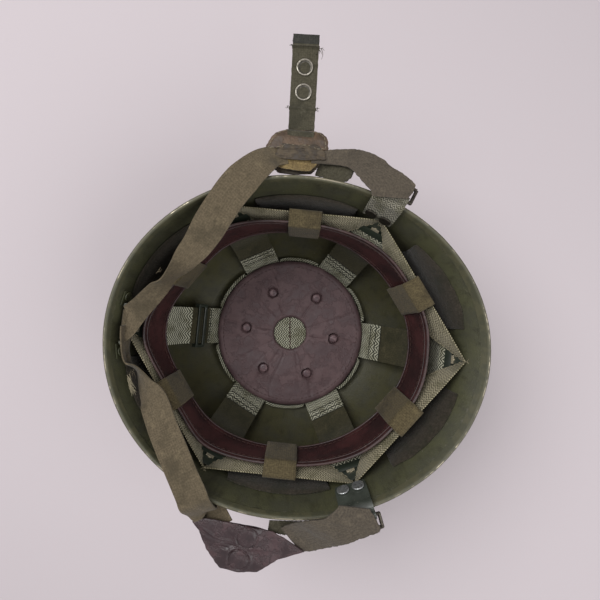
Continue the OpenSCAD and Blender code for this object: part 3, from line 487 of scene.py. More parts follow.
def herringbone(name, light, dark, stripe=2.8, pitch=2.0, stain_to="#46432a"):
    """Cotton herringbone twill: slanted ribs that turn back at each stripe. The ribs of the real
    cloth are 1 mm apart, too fine to show, so they are drawn coarser."""
    material, tree, shader, place = new_finish(name)
    along = node(tree, "SeparateXYZ", {0: place.node.outputs["UV"]})
    zig = node(tree, "Math", {0: along.node.outputs[1], 1: stripe * MM}, operation="PINGPONG")
    slant = node(tree, "Math", {0: along, 1: zig}, operation="ADD")
    turns = node(tree, "Math", {0: slant, 1: 2 * pi / (pitch * MM)}, operation="MULTIPLY")
    rib = node(tree, "Math", {0: turns}, operation="SINE")
    fluff = node(tree, "TexNoise",
                 {"Vector": place, "Scale": 1 / (1.2 * MM), "Detail": 4, "Roughness": 0.8})
    height = node(tree, "Math", {0: rib, 1: 0.34, 2: fluff}, operation="MULTIPLY_ADD")
    raised = node(tree, "MapRange", {0: height, 1: 0.28, 2: 0.72}, **SMOOTH)
    colour = node(tree, "Mix", {0: raised, 6: linear(dark), 7: linear(light)}, **RGBA)
    stain = node(tree, "TexNoise",
                 {"Vector": place, "Scale": 1 / (12 * MM), "Detail": 4, "Roughness": 0.6})
    stain = node(tree, "MapRange", {0: stain, 1: 0.45, 2: 0.66, 4: 0.55}, **SMOOTH)
    colour = node(tree, "Mix", {0: stain, 6: colour, 7: linear(stain_to)}, **RGBA)
    finish_shader(tree, shader, colour, height, 0.5, 0.92, Sheen_Weight=0.1, Sheen_Roughness=0.5,
                  Specular_IOR_Level=0.2)
    return material


def tape(name, light, dark, ribs=1.3, stain_to="#2c281a", worn="#6f6550"):
    """Woven cotton webbing: fine cross ribs that hardly show, faded high spots, rubbed places"""
    material, tree, shader, place = new_finish(name)
    along = node(tree, "SeparateXYZ", {0: place.node.outputs["UV"]})
    over = node(tree, "Math", {0: along, 1: 2 * pi / (ribs * MM)}, operation="MULTIPLY")
    over = node(tree, "Math", {0: over}, operation="SINE")
    under = node(tree, "Math", {0: along.node.outputs[1], 1: 2 * pi / (1.7 * MM)},
                 operation="MULTIPLY")
    under = node(tree, "Math", {0: under}, operation="SINE")
    fluff = node(tree, "TexNoise",
                 {"Vector": place, "Scale": 1 / (1.3 * MM), "Detail": 4, "Roughness": 0.75})
    height = node(tree, "Math", {0: under, 1: 0.03, 2: fluff}, operation="MULTIPLY_ADD")
    height = node(tree, "Math", {0: over, 1: 0.03, 2: height}, operation="MULTIPLY_ADD")
    raised = node(tree, "MapRange", {0: height, 1: 0.3, 2: 0.72}, **SMOOTH)
    colour = node(tree, "Mix", {0: raised, 6: linear(dark), 7: linear(light)}, **RGBA)
    stain = node(tree, "TexNoise",
                 {"Vector": place, "Scale": 1 / (21 * MM), "Detail": 5, "Roughness": 0.62})
    stain = node(tree, "MapRange", {0: stain, 1: 0.48, 2: 0.66, 4: 0.6}, **SMOOTH)
    colour = node(tree, "Mix", {0: stain, 6: colour, 7: linear(stain_to)}, **RGBA)
    fade = node(tree, "TexNoise",
                {"Vector": place, "Scale": 1 / (8 * MM), "Detail": 6, "Roughness": 0.75})
    fade = node(tree, "MapRange", {0: fade, 1: 0.54, 2: 0.7, 4: 0.5}, **SMOOTH)
    colour = node(tree, "Mix", {0: fade, 6: colour, 7: linear(worn)}, **RGBA)
    finish_shader(tree, shader, colour, height, 0.4, 0.9, Sheen_Weight=0.08, Sheen_Roughness=0.5,
                  Specular_IOR_Level=0.2)
    return material


def leather(name, light, dark, shine, grain=1.6, crease_mm=9.0, scuffed="#8a6a5e", depth=0.3):
    """Vegetable-tanned leather, dyed and handled: pebbled grain, creases, scuffed high spots"""
    material, tree, shader, place = new_finish(name)
    pebble = node(tree, "TexVoronoi", {"Vector": place, "Scale": 1 / (grain * MM)},
                  feature="SMOOTH_F1")
    crease = node(tree, "TexNoise",
                  {"Vector": place, "Scale": 1 / (crease_mm * MM), "Detail": 5, "Roughness": 0.62})
    # A crease runs where the noise crosses its middle
    fold = node(tree, "Math", {0: crease, 1: 0.5}, operation="SUBTRACT")
    fold = node(tree, "Math", {0: fold}, operation="ABSOLUTE")
    fold = node(tree, "MapRange", {0: fold, 2: 0.035}, **SMOOTH)
    height = node(tree, "Math", {0: fold, 1: 0.5, 2: crease}, operation="MULTIPLY_ADD")
    height = node(tree, "Math", {0: pebble, 1: 0.35, 2: height}, operation="MULTIPLY_ADD")
    faded = node(tree, "MapRange", {0: crease, 1: 0.35, 2: 0.65}, **SMOOTH)
    colour = node(tree, "Mix", {0: faded, 6: linear(dark), 7: linear(light)}, **RGBA)
    pores = node(tree, "MapRange", {0: pebble, 1: 0.1, 2: 0.5, 3: 0.3, 4: 0.0}, **SMOOTH)
    colour = node(tree, "Mix", {0: pores, 6: colour, 7: linear(dark)}, **RGBA)
    scuff = node(tree, "TexNoise",
                 {"Vector": place, "Scale": 1 / (5 * MM), "Detail": 6, "Roughness": 0.75})
    scuff = node(tree, "MapRange", {0: scuff, 1: 0.6, 2: 0.72, 4: 0.5}, **SMOOTH)
    colour = node(tree, "Mix", {0: scuff, 6: colour, 7: linear(scuffed)}, **RGBA)
    rough = node(tree, "MapRange", {0: crease, 1: 0.3, 2: 0.7, 3: shine, 4: shine + 0.16}, **SMOOTH)
    finish_shader(tree, shader, colour, height, depth, rough, Specular_IOR_Level=0.5)
    return material


def napped(name, light, dark, size=1.5, stain_to="#4a3b2c", sheen=0.25):
    """Suede or pressed wool felt: soft nap, blotched by age"""
    material, tree, shader, place = new_finish(name)
    nap = node(tree, "TexNoise",
               {"Vector": place, "Scale": 1 / (size * MM), "Detail": 5, "Roughness": 0.75})
    blotch = node(tree, "TexNoise",
                  {"Vector": place, "Scale": 1 / (13 * MM), "Detail": 4, "Roughness": 0.6})
    raised = node(tree, "MapRange", {0: nap, 1: 0.3, 2: 0.7}, **SMOOTH)
    colour = node(tree, "Mix", {0: raised, 6: linear(dark), 7: linear(light)}, **RGBA)
    stain = node(tree, "MapRange", {0: blotch, 1: 0.45, 2: 0.68, 4: 0.65}, **SMOOTH)
    colour = node(tree, "Mix", {0: stain, 6: colour, 7: linear(stain_to)}, **RGBA)
    height = node(tree, "Math", {0: blotch, 1: 1.2, 2: nap}, operation="MULTIPLY_ADD")
    finish_shader(tree, shader, colour, height, 0.6, 0.95, Sheen_Weight=sheen, Sheen_Roughness=0.5,
                  Specular_IOR_Level=0.15)
    return material


def thread(name, tint, soiled="#6d634a"):
    """Waxed linen sewing thread: matt, twisted too finely to show"""
    material, tree, shader, place = new_finish(name)
    twist = node(tree, "TexNoise",
                 {"Vector": place, "Scale": 1 / (0.6 * MM), "Detail": 2, "Roughness": 0.55})
    colour = node(tree, "Mix", {0: twist, 6: linear(tint), 7: linear(soiled)}, **RGBA)
    finish_shader(tree, shader, colour, twist, 0.1, 0.8, Specular_IOR_Level=0.3)
    return material


def stage_floor(tint):
    """Matt painted board"""
    material, tree, shader, place = new_finish("matt pale board")
    tooth = node(tree, "TexNoise",
                 {"Vector": place, "Scale": 1 / (2.0 * MM), "Detail": 2, "Roughness": 0.55})
    spots = node(tree, "MapRange", {0: tooth, 1: 0.3, 2: 0.7, 4: 0.08}, **SMOOTH)
    colour = node(tree, "Mix", {0: spots, 6: linear(tint), 7: linear("#b9b2b6")}, **RGBA)
    finish_shader(tree, shader, colour, tooth, 0.05, 0.9, Specular_IOR_Level=0.2)
    return material


# Each finish's maker and what it is given
FINISHES = {
    "paint": (olive_paint,),
    "edge": (edge_steel,),
    "fitting": (painted_metal, "dark green enamel on sheet steel", "#2a3028", 0.68),
    "bracket": (painted_metal, "olive enamel on bent wire", "#4f4f38", 0.7),
    "tab": (painted_metal, "overpainted webbing tab", "#4c504a", 0.66),
    "rivet": (bare_metal, "bright worn rivet steel", "#b3b6b6", "#6a6c6a"),
    "anchor": (bare_metal, "pale worn anchor bars", "#dcd2b8", "#a89f86"),
    "dark rivet": (bare_metal, "blackened rivet steel", "#4a463e", "#2e2b26"),
    "socket": (bare_metal, "dull plated snap dish", "#4d4b45", "#35332e"),
    "socket rim": (bare_metal, "bright plated snap rim", "#b5b1a5", "#7c786c"),
    "eyelet": (leather, "lacquered vent cap", "#6d5658", "#453236", 0.36, 1.4, 6, "#8d7c7b"),
    "web": (herringbone, "khaki herringbone webbing", "#9a927a", "#413b29"),
    "tab cloth": (herringbone, "frayed tab herringbone", "#8f8a7c", "#3a3a31", 1.7, 1.5),
    "crown cloth": (herringbone, "bright crown herringbone", "#b4b29e", "#2a2d23", 4.1, 3.0),
    "pale web": (herringbone, "pale grey green herringbone", "#adab97", "#2a2d24", 3.4, 2.5),
    "loop": (tape, "olive brown cotton tape", "#5a5039", "#3b3323", 1.3, "#2c261a", "#6b5f43"),
    "crown tape": (tape, "dark olive crown tape", "#3f3b29", "#2b291b", 1.5, "#232316", "#544d38"),
    "strap": (tape, "tan chin webbing", "#5f5443", "#463e30", 1.3, "#383226", "#70644f"),
    "grey strap": (tape, "greyed chin webbing", "#554d42", "#3d3730", 1.3, "#332f28", "#685e50"),
    "dark strap": (tape, "grimy chin webbing", "#4a4639", "#343126", 1.3, "#2a281f", "#5c584b"),
    "strap end": (tape, "dark folded webbing end", "#353430", "#262622", 1.3, "#1f1f1b", "#45433c"),
    "band": (leather, "oxblood sweatband leather", "#3d1f1f", "#200f10", 0.34, 1.1, 26, "#5a3a36",
             0.2),
    "piping": (leather, "rubbed leather piping", "#3a2624", "#221514", 0.45, 1.0, 12, "#6c5b52",
               0.15),
    "pad": (leather, "mauve crown leather", "#574344", "#433133", 0.55, 1.3, 14, "#6a5554", 0.4),
    "cup": (leather, "brown cup leather", "#523f2d", "#35281a", 0.5, 1.6, 9, "#69573d"),
    "crossing": (leather, "cracked dark leather", "#483d2d", "#261f16", 0.62, 1.8, 7, "#5c513c",
                 0.3),
    "plate": (leather, "mauve stud plate leather", "#3d2b2d", "#25191b", 0.42, 1.7, 12, "#503f40",
              0.55),
    "suede": (napped, "ochre suede lining", "#85734d", "#5a4a30", 1.2, "#4b3e28"),
    "felt": (napped, "brown grey wool felt", "#3b352d", "#26221b", 1.6, "#232319", 0.12),
    "thread": (thread, "linen thread", "#8d8674"),
    "dark thread": (thread, "oxblood thread", "#412925", "#33221c"),
    "black thread": (thread, "grimy cotton thread", "#2a2a1f", "#22221a"),
    "floor": (stage_floor, "#bcb3b7"),
}
MADE = {}


def finish(name):
    """A material by its short name, made when it is first asked for"""
    if name not in MADE:
        maker, *given = FINISHES[name]
        MADE[name] = maker(*given)
    return MADE[name]


# The shell and its edge
def build_shell():
    """The pressed bowl with its skirt, as one closed wall"""
    # Rows of the wall, each a share of the flat crown or a level up the bowl and then the skirt,
    # first up its outside and then down its inside
    outer = ([(CROWN_FLAT / BOWL_L * k / 3, None) for k in range(3)]
             + [(None, i / 30) for i in range(31)] + [(None, 1 + i / 14) for i in range(1, 15)])
    stations = [(s, 0.0) for s in outer] + [((None, 2.0), SHELL_T / 2)]
    stations += [(s, SHELL_T) for s in reversed(outer)]
    rows = len(stations) - 1

    def place(u, v):
        (flat_share, level), off = stations[round(v * rows)]
        t = u * 360
        if level is None:
            return Vector(((BOWL_L / 2 - off) * flat_share * cosd(t),
                           (BOWL_W / 2 - off) * flat_share * sind(t), off))
        if level <= 1:
            a = mix(FLAT_ANGLE, 90, level)
            k = sind(a) ** (2 / FULLNESS)
            z = off + (BOWL_H - off) * (1 - cosd(a) ** (2 / FULLNESS) / FLAT_COS)
            return Vector((AHEAD * z / BOWL_H + (BOWL_L / 2 - off) * k * cosd(t),
                           (BOWL_W / 2 - off) * k * sind(t), z))
        z = mix(BOWL_H, three_way(t, RIM), level - 1)
        # The row between the two faces rounds the lip
        if off == SHELL_T / 2:
            z += 0.25
        return wall_pt(t, z, off)
    bm = bmesh.new()
    bmesh.ops.create_grid(bm, x_segments=192, y_segments=rows, size=0.5)
    uv = bm.loops.layers.uv.new("flat")
    for face in bm.faces:
        for loop in face.loops:
            co = loop.vert.co
            p = place(co.x + 0.5, co.y + 0.5)
            down = three_way((co.x + 0.5) * 360, RIM) - p.z
            loop[uv].uv = ((co.x + 0.5) * 0.8, down * MM)
    for v in bm.verts:
        v.co = place(v.co.x + 0.5, v.co.y + 0.5) * MM
    bmesh.ops.reverse_faces(bm, faces=bm.faces)
    piece = made(bm, "steel_bowl", [finish("paint")], weld=WELD, sharp=60)
    dress(piece, "root", "olive_paint", "shell")


def build_binding():
    """The folded edging that grips the rim"""
    slack, outer = GAP, GAP + 0.5
    low, inner = -3.6, SHELL_T + outer
    profile = [(-outer, low), (-outer, -2.4), (-outer, -1.2), (-outer, 0.0),
               (-outer * 0.4, outer * 0.7), (SHELL_T / 2, outer), (SHELL_T + outer * 0.4, outer * 0.7),
               (inner, 0.0), (inner, -1.2), (inner, -2.4), (inner, low), (SHELL_T + slack, low),
               (SHELL_T + slack, 0), (SHELL_T / 2, slack), (-slack, 0), (-slack, low)]
    n = len(profile)

    def place(u, v):
        t = u * 360
        off, up = profile[round(v * n) % n]
        z = three_way(t, RIM)
        ripple = 0.12 * wander(t * 0.12, 3.0)
        p = wall_pt(t, z + min(0, up), off + ripple)
        return p + Vector((0, 0, max(0, up)))
    # Its UV grows by 0.1 at each point of the profile, by which the finish finds the crest
    piece = sheet("edge_binding", 256, n, place, [finish("edge")], flat=(800, 100 * n),
                  weld=WELD, sharp=55, flip=True)
    dress(piece, "root", "edge_steel", "rim_binding")


# Felt, web, loops and sweatband
def build_felt():
    """The felt pads on the wall, swollen in the middle and drawn in at their edges"""
    for i in range(6):
        middle = (i + 0.5) * 60
        seat = SHELL_T + 2 * GAP

        def place(u, v, k, middle=middle, i=i):
            t = middle + 36 * (u - 0.5) + 0.5 * wander(v * 4, i * 3.1)
            drawn = 2.5 * (2 * u - 1) ** 2 + 0.8 * wander(u * 7, i * 5.0)
            z = mix(100 + drawn, 145 - drawn, v)
            swell = sqrt(max(0, sin(pi * u) * sin(pi * v)))
            rough = 0.35 * wander(u * 16, v * 18, i) * min(1, 4 * swell)
            return wall_pt(t, z, seat + k * (mix(0.9, 4.2, swell) + rough))
        piece = sheet(f"felt_pad_{i + 1}", 44, 26, place, [finish("felt")], (80, 45), solid=True)
        soften(piece, 0.5)
        dress(piece, "root", "felt", f"wall_pad_{i + 1}")


def build_web():
    """The six web sides, each held flat by its loop and slack towards its corners"""
    for i in range(6):
        a, b = corner_top(i), corner_top(i + 1)
        inward = Vector((b.y - a.y, a.x - b.x, 0)).normalized() * -1
        lean_full = web_lean(i)
        drop = sqrt(WEB_W ** 2 - lean_full ** 2)

        def place(u, v, k, a=a, b=b, inward=inward, lean_full=lean_full, drop=drop, i=i):
            s = mix(0.012, 0.988, u)
            swell = sin(pi * s) ** 0.8
            top = a.lerp(b, s) - Vector((0, 0, 1.2 * swell))
            # Between its loop and its ends the web sags towards the sweatband
            lean = lean_full * swell + 4.2 * sin(2 * pi * s) ** 2
            depth = mix(2.2, drop, swell)
            fold = max(0.0, 1 - 5 * min(s, 1 - s))
            ripple = (0.3 * sin(u * 40 + i) + 0.5 * wander(u * 9, v * 2, i * 3.0)) * (1 - swell) * v
            bow = 0.5 * sin(pi * v) * swell + 0.5 * fold * (1 - v)
            q = (top + Vector((0, 0, -depth * v))
                 + inward * (lean * v + ripple + bow + WEB_T * (k * 0.8 + 0.1)))
            # It comes to rest against the band
            az = degrees(atan2(q.y, q.x))
            down = max(0, min(1, (BAND_TOP - q.z) / BAND_H))
            short = band_reach(az, down) + 2.4 - WEB_T * k - hypot(q.x, q.y)
            if short > 0:
                q += Vector((cosd(az), sind(az), 0)) * short
            return q
        piece = sheet(f"web_side_{i + 1}", 72, 14, place, [finish("web")],
                      ((b - a).length, WEB_W), solid=True)
        dress(piece, "root", "herringbone", f"head_web_{i + 1}")

        def hem(s, place=place, v=0.93):
            q = place(s, v, 1)
            return q, (q - place(s, v, 0)).normalized()
        stitches(f"web_hem_{i + 1}", [(hem, (b - a).length)], finish("thread"), "root",
                 "herringbone", 2.2, 3.4, 0.22)


def loop_path(i):
    """Corners of the loop round the web and the sweatband, seen from its side, at mid thickness"""
    az, m = web_az(i), web_mid(i)
    side = -m.x * sind(az) + m.y * cosd(az)
    slack = 2 * GAP
    places = [degrees(atan2(side + k * LOOP_W, band_reach(az, 0))) for k in (-0.6, 0, 0.6)]
    top = [band_reach(az + d, 0) * cosd(d) for d in places]
    bottom = [band_reach(az + d, 1) * cosd(d) for d in places]
    lean = web_lean(i)
    in_top, in_low = min(top) - BAND_T - slack, min(bottom) - BAND_T - slack
    out_top, out_mid = web_out(i) + slack, web_out(i) - lean + slack
    out_low = max(bottom) + slack + GAP
    low = BAND_TOP - BAND_H - slack
    mid = WEB_TOP - sqrt(WEB_W ** 2 - lean ** 2) - slack
    high, h = WEB_TOP + slack, LOOP_T / 2
    return side, [(in_low - h, low - h), (in_top - h, BAND_TOP + slack), (out_top - 3, high + h),
                  (out_top + h - 0.4, high + h - 0.4), (out_top + h, high - 1.2),
                  (out_mid + h, mid), (out_low + h, low - h)]


def rounded(points, cut=1.2, count=96):
    """Evenly spaced points on a closed path with its corners cut round"""
    path = []
    n = len(points)
    for i in range(n):
        p, q, r = (Vector(points[j % n]) for j in (i - 1, i, i + 1))
        a = q + (p - q).normalized() * min(cut, (p - q).length / 2.2)
        b = q + (r - q).normalized() * min(cut, (r - q).length / 2.2)
        for k in range(5):
            u = k / 4
            path.append(a * (1 - u) ** 2 + q * 2 * u * (1 - u) + b * u * u)
    lengths = [0.0]
    for i in range(len(path)):
        lengths.append(lengths[-1] + (path[(i + 1) % len(path)] - path[i]).length)
    out, j = [], 0
    for k in range(count):
        want = lengths[-1] * k / count
        while lengths[j + 1] < want:
            j += 1
        u = (want - lengths[j]) / max(1e-9, lengths[j + 1] - lengths[j])
        out.append(path[j].lerp(path[(j + 1) % len(path)], u))
    return out, lengths[-1]


def build_loops():
    """The tape loops that grip the sweatband to the web"""
    for i in range(6):
        side, corners = loop_path(i)
        path, length = rounded(corners)
        az = web_az(i)

        def place(u, v, path=path, side=side, az=az, i=i):
            r, z = path[round(u * len(path)) % len(path)]
            across = side + (v - 0.5) * (LOOP_W + 0.5 * wander(u * 9, i * 2.0))
            return turned((r, across, z), az)
        piece = sheet(f"tape_loop_{i + 1}", len(path), 10, place, [finish("loop")],
                      (length, LOOP_W), weld=WELD)
        thick = piece.modifiers.new("thickness", "SOLIDIFY")
        thick.thickness = LOOP_T * MM
        thick.offset = 0
        dress(piece, "root", "tape", f"web_loop_{i + 1}")


def band_point(az, v, off):
    """A point of the sweatband at an azimuth, v of the way down, off mm in from its outside"""
    r = band_reach(az, v) - off
    return Vector((r * cosd(az), r * sind(az), BAND_TOP - BAND_H * v))


def band_wave(az, v):
    """How far the band's edge rises and falls between the loops that hold it"""
    pinch = max(0.0, max(cosd(az - side) for side, out in SIDES) - 0.985) / 0.015
    wave = 0.6 * wander(az * 0.045, 1.0) * (1 - v) + 0.5 * wander(az * 0.09, v * 2, 7.0)
    return wave * (1 - pinch)


def build_sweatband():
    """The leather band, its piping along both edges and its stitches"""
    ring = [(0.03, 1.5), (0.01, 1.2), (0.0, 0.8), (0.01, 0.3), (0.04, 0.0)]
    ring += [(v / 14, -BAND_BULGE * sin(pi * v / 14)) for v in range(1, 14)]
    ring += [(0.96, 0.0), (0.99, 0.3), (1.0, 0.8), (0.99, 1.2), (0.97, 1.5)]
    ring += [(v / 14, BAND_T - BAND_BULGE * sin(pi * v / 14)
              - (0.35 if v in (2, 12) else 0)) for v in range(13, 0, -1)]
    n = len(ring)

    def place(u, v):
        az = u * 360
        down, off = ring[round(v * n) % n]
        p = band_point(az, down, off + 0.25 * wander(az * 0.2, down * 3, 3.0))
        p.z += band_wave(az, down)
        return p
    piece = sheet("sweatband_leather", 288, n, place, [finish("band")], (620, 70), weld=WELD,
                  sharp=75)
    dress(piece, "root", "oxblood_leather", "sweatband")
    for name, down, off, radius in (("upper", -0.012, 0.6, 1.15), ("second", 0.10, 1.35, 0.55),
                                    ("lower", 1.012, 1.0, 0.9)):
        def roll(u, v, down=down, off=off, radius=radius):
            az = u * 360
            mid = band_point(az, down, off)
            mid.z += band_wave(az, max(0, min(1, down)))
            a = radians(360 * v)
            out = Vector((cosd(az), sind(az), 0))
            return mid + out * (radius * cos(a)) + Vector((0, 0, radius * sin(a)))
        piece = sheet(f"band_piping_{name}", 240, 10, roll, [finish("piping")], (620, 8), weld=WELD,
                      sharp=80)
        dress(piece, "root", "oxblood_leather")
    runs = []
    for down in (0.17, 0.86):
        def run(s, down=down):
            az = s * 360
            inwards = Vector((-cosd(az), -sind(az), 0.25)).normalized()
            p = band_point(az, down, BAND_T - BAND_BULGE * sin(pi * down))
            p.z += band_wave(az, down)
            return p, inwards
        runs.append((run, 600))
    stitches("sweatband_stitches", runs, finish("dark thread"), "root", "oxblood_leather",
             length=2.6, pitch=4.2, radius=0.28)


# Crown
def strap_az(i):
    """Azimuth of a crown strap"""
    p = corner_top(i)
    return degrees(atan2(p.y, p.x))


def strap_points(i):
    """Points of a crown strap's curve from the pad up to its plate, as radius and height"""
    p = corner_top(i)
    s = Vector((STRAP_IN, STRAP_IN_Z))
    e = Vector((hypot(p.x, p.y) - PLATE_IN - (PLATE_H - 2.5) * sind(PLATE_LEAN) - 2.8,
                p.z - PLATE_DOWN - (PLATE_H - 1) * cosd(PLATE_LEAN)))
    u = (e - s).normalized()
    n = Vector((u.y, -u.x))
    length = (e - s).length
    return [s, s + u * length * 0.38 + n * 8, s + u * length * 0.72 + n * 7.2, e]


def build_crown_straps():
    """The crown straps with their stitches and the ends turned over their plates"""
    for i in range(6):
        p = strap_points(i)
        points = [p[0], p[0].lerp(p[1], 0.5), p[1], p[1].lerp(p[2], 0.55), p[2],
                  p[2].lerp(p[3], 0.6), p[3]]
        az = strap_az(i)
        length = sum((b - a).length for a, b in zip(p, p[1:]))
        cloth_from, cloth_to = (0.13, 0.60) if i != 3 else (0.05, 0.24)

        def place(u, v, k, points=points, az=az, i=i, on=cloth_from, off=cloth_to):
            r, z = spline(points, u)
            r2, z2 = spline(points, min(1, u + 0.01))
            r1, z1 = spline(points, max(0, u - 0.01))
            along = Vector((r2 - r1, z2 - z1)).normalized()
            up = Vector((-along.y, along.x))
            wide = mix(CROWN_STRAP_W, PLATE_W - 8.5, max(0, min(1, (u - 0.93) / 0.05)))
            lift = k * CROWN_STRAP_T * (1.0 if on < u < off else 0.5)
            lift += 0.3 * wander(u * 6, v * 3, i * 4.0)
            side = (v - 0.5) * (wide + 0.6 * wander(u * 11, i * 7.0))
            return turned((r + up.x * lift, side, z + up.y * lift), az)

        def cloth(u, v, k, on=cloth_from, off=cloth_to):
            return 0 if on < u < off else 1
        piece = sheet(f"crown_tape_{i + 1}", 90, 12, place,
                      [finish("crown tape"), finish("crown cloth")], (length, CROWN_STRAP_W),
                      solid=True, paint=cloth)
        dress(piece, "root", "tape", f"crown_strap_{i + 1}")

        def run_at(s0, place=place):
            def run(s):
                q = place(s0, s * 0.92 + 0.04, 1)
                return q, (place(s0, s, 1) - place(s0, s, 0)).normalized()
            return run
        stitches(f"crown_tape_stitches_{i + 1}", [(run_at(x), 32) for x in (0.03, 0.09, 0.14)],
                 finish("black thread"), "root", "tape", 2.6, 2.9, 0.42)

        # The strap's end turned over the lower edge of its plate
        path = [(-1.3, -8.5), (-1.7, -11), (-1.9, -16), (-1.9, -19.4), (-1.2, -21.2), (0.4, -21.6),
                (1.7, -20.4), (1.6, -18)]

        def turnover(u, v, k, path=path, i=i):
            q, up = along_path(path, u)
            q = q - up * (k * 1.1)
            wide = mix(24, 31, min(1, u / 0.55)) + 0.5 * wander(u * 8, i * 2.0)
            return at_corner(i, (q.x, (v - 0.5) * wide, q.y))

        def dark_end(u, v, k):
            return 1 if u < 0.22 else 0
        piece = sheet(f"strap_turnover_{i + 1}", 30, 12, turnover,
                      [finish("pale web"), finish("fitting")], (26, 30), solid=True, paint=dark_end)
        dress(piece, "root", "herringbone")


def at_corner(i, p):
    """A point of a plate's own frame, whose height runs down the plate from the web's corner"""
    x = p[0] * cosd(PLATE_LEAN) + p[2] * sind(PLATE_LEAN) - PLATE_IN
    z = p[2] * cosd(PLATE_LEAN) - p[0] * sind(PLATE_LEAN) - PLATE_DOWN
    return corner_top(i) + turned((x, p[1], z), wall_az(corner_angle(i)))


def flat_uv(piece):
    """UVs of a flat piece straight from above, in metres"""
    for loop, data in zip(piece.data.loops, piece.data.uv_layers[0].data):
        co = piece.data.vertices[loop.vertex_index].co
        data.uv = (co.x, co.y)


def build_backing():
    """The cloth under the crown pad, with its tabs and the hem between them"""
    disc_r = CROWN_D / 2 + 0.5
    low = CROWN_Z - CROWN_T - 2 * GAP - 1

    def disc(u, v, k):
        az = u * 360
        sag = 0.3 * wander(az * 0.05, v * 2)
        return Vector((v * disc_r * cosd(az), v * disc_r * sind(az), low + k * 0.9 + sag * v))
    piece = sheet("crown_backing_cloth", 96, 14, disc, [finish("pale web")], (450, 70), solid=True,
                  weld=WELD, closed=True)
    flat_uv(piece)
    dress(piece, "root", "herringbone", "crown_backing")
    tab_low = low + GAP
    rise = STRAP_IN_Z - 2 * GAP - 1 - tab_low
    for i in range(6):
        points = [Vector((disc_r - 6, tab_low + 0.5)), Vector((disc_r - 1, tab_low + 0.5)),
                  Vector((STRAP_IN - 3, tab_low + rise - 2.6)),
                  Vector((STRAP_IN + 1, tab_low + rise - 0.6)),
                  Vector((STRAP_IN + 8, tab_low + rise + 2.3))]

        def place(u, v, k, points=points, i=i):
            r, z = spline(points, u)
            side = (v - 0.5) * (CROWN_STRAP_W + 0.8 + 0.6 * wander(u * 5, i * 3.0))
            return turned((r, side, z - 0.4 + k * 0.9), strap_az(i))
        piece = sheet(f"backing_tab_{i + 1}", 16, 10, place, [finish("pale web")],
                      (22, CROWN_STRAP_W), solid=True)
        dress(piece, "root", "herringbone")

        # Between two straps the backing's hem stands out from the pad in a straight strip
        a, b = strap_az(i), strap_az((i + 1) % 6) + (360 if i == 5 else 0)
        spread = degrees(CROWN_STRAP_W / 2 / disc_r) + 1.5
        first, last = a + spread, b - spread
        if last < first:
            first, last = last, first
        ends = [Vector((cosd(t), sind(t), 0)) * (disc_r + 0.6) for t in (first, last)]
        out = (ends[0] + ends[1]).normalized()

        def hem(u, v, k, ends=ends, out=out, i=i):
            bow = 3.6 * sin(pi * u) ** 0.6
            wide = 2.8 + 0.5 * wander(u * 6, i * 2.0)
            q = ends[0].lerp(ends[1], u) + out * (bow + (v - 0.5) * wide)
            return q + Vector((0, 0, CROWN_Z - 2.2 + 1.2 * (k - 0.5) + 0.3 * wander(u * 5, i)
                               - 0.8 * (v - 0.5)))
        piece = sheet(f"backing_hem_{i + 1}", 30, 6, hem, [finish("pale web")], (38, 3), solid=True)
        dress(piece, "root", "herringbone")


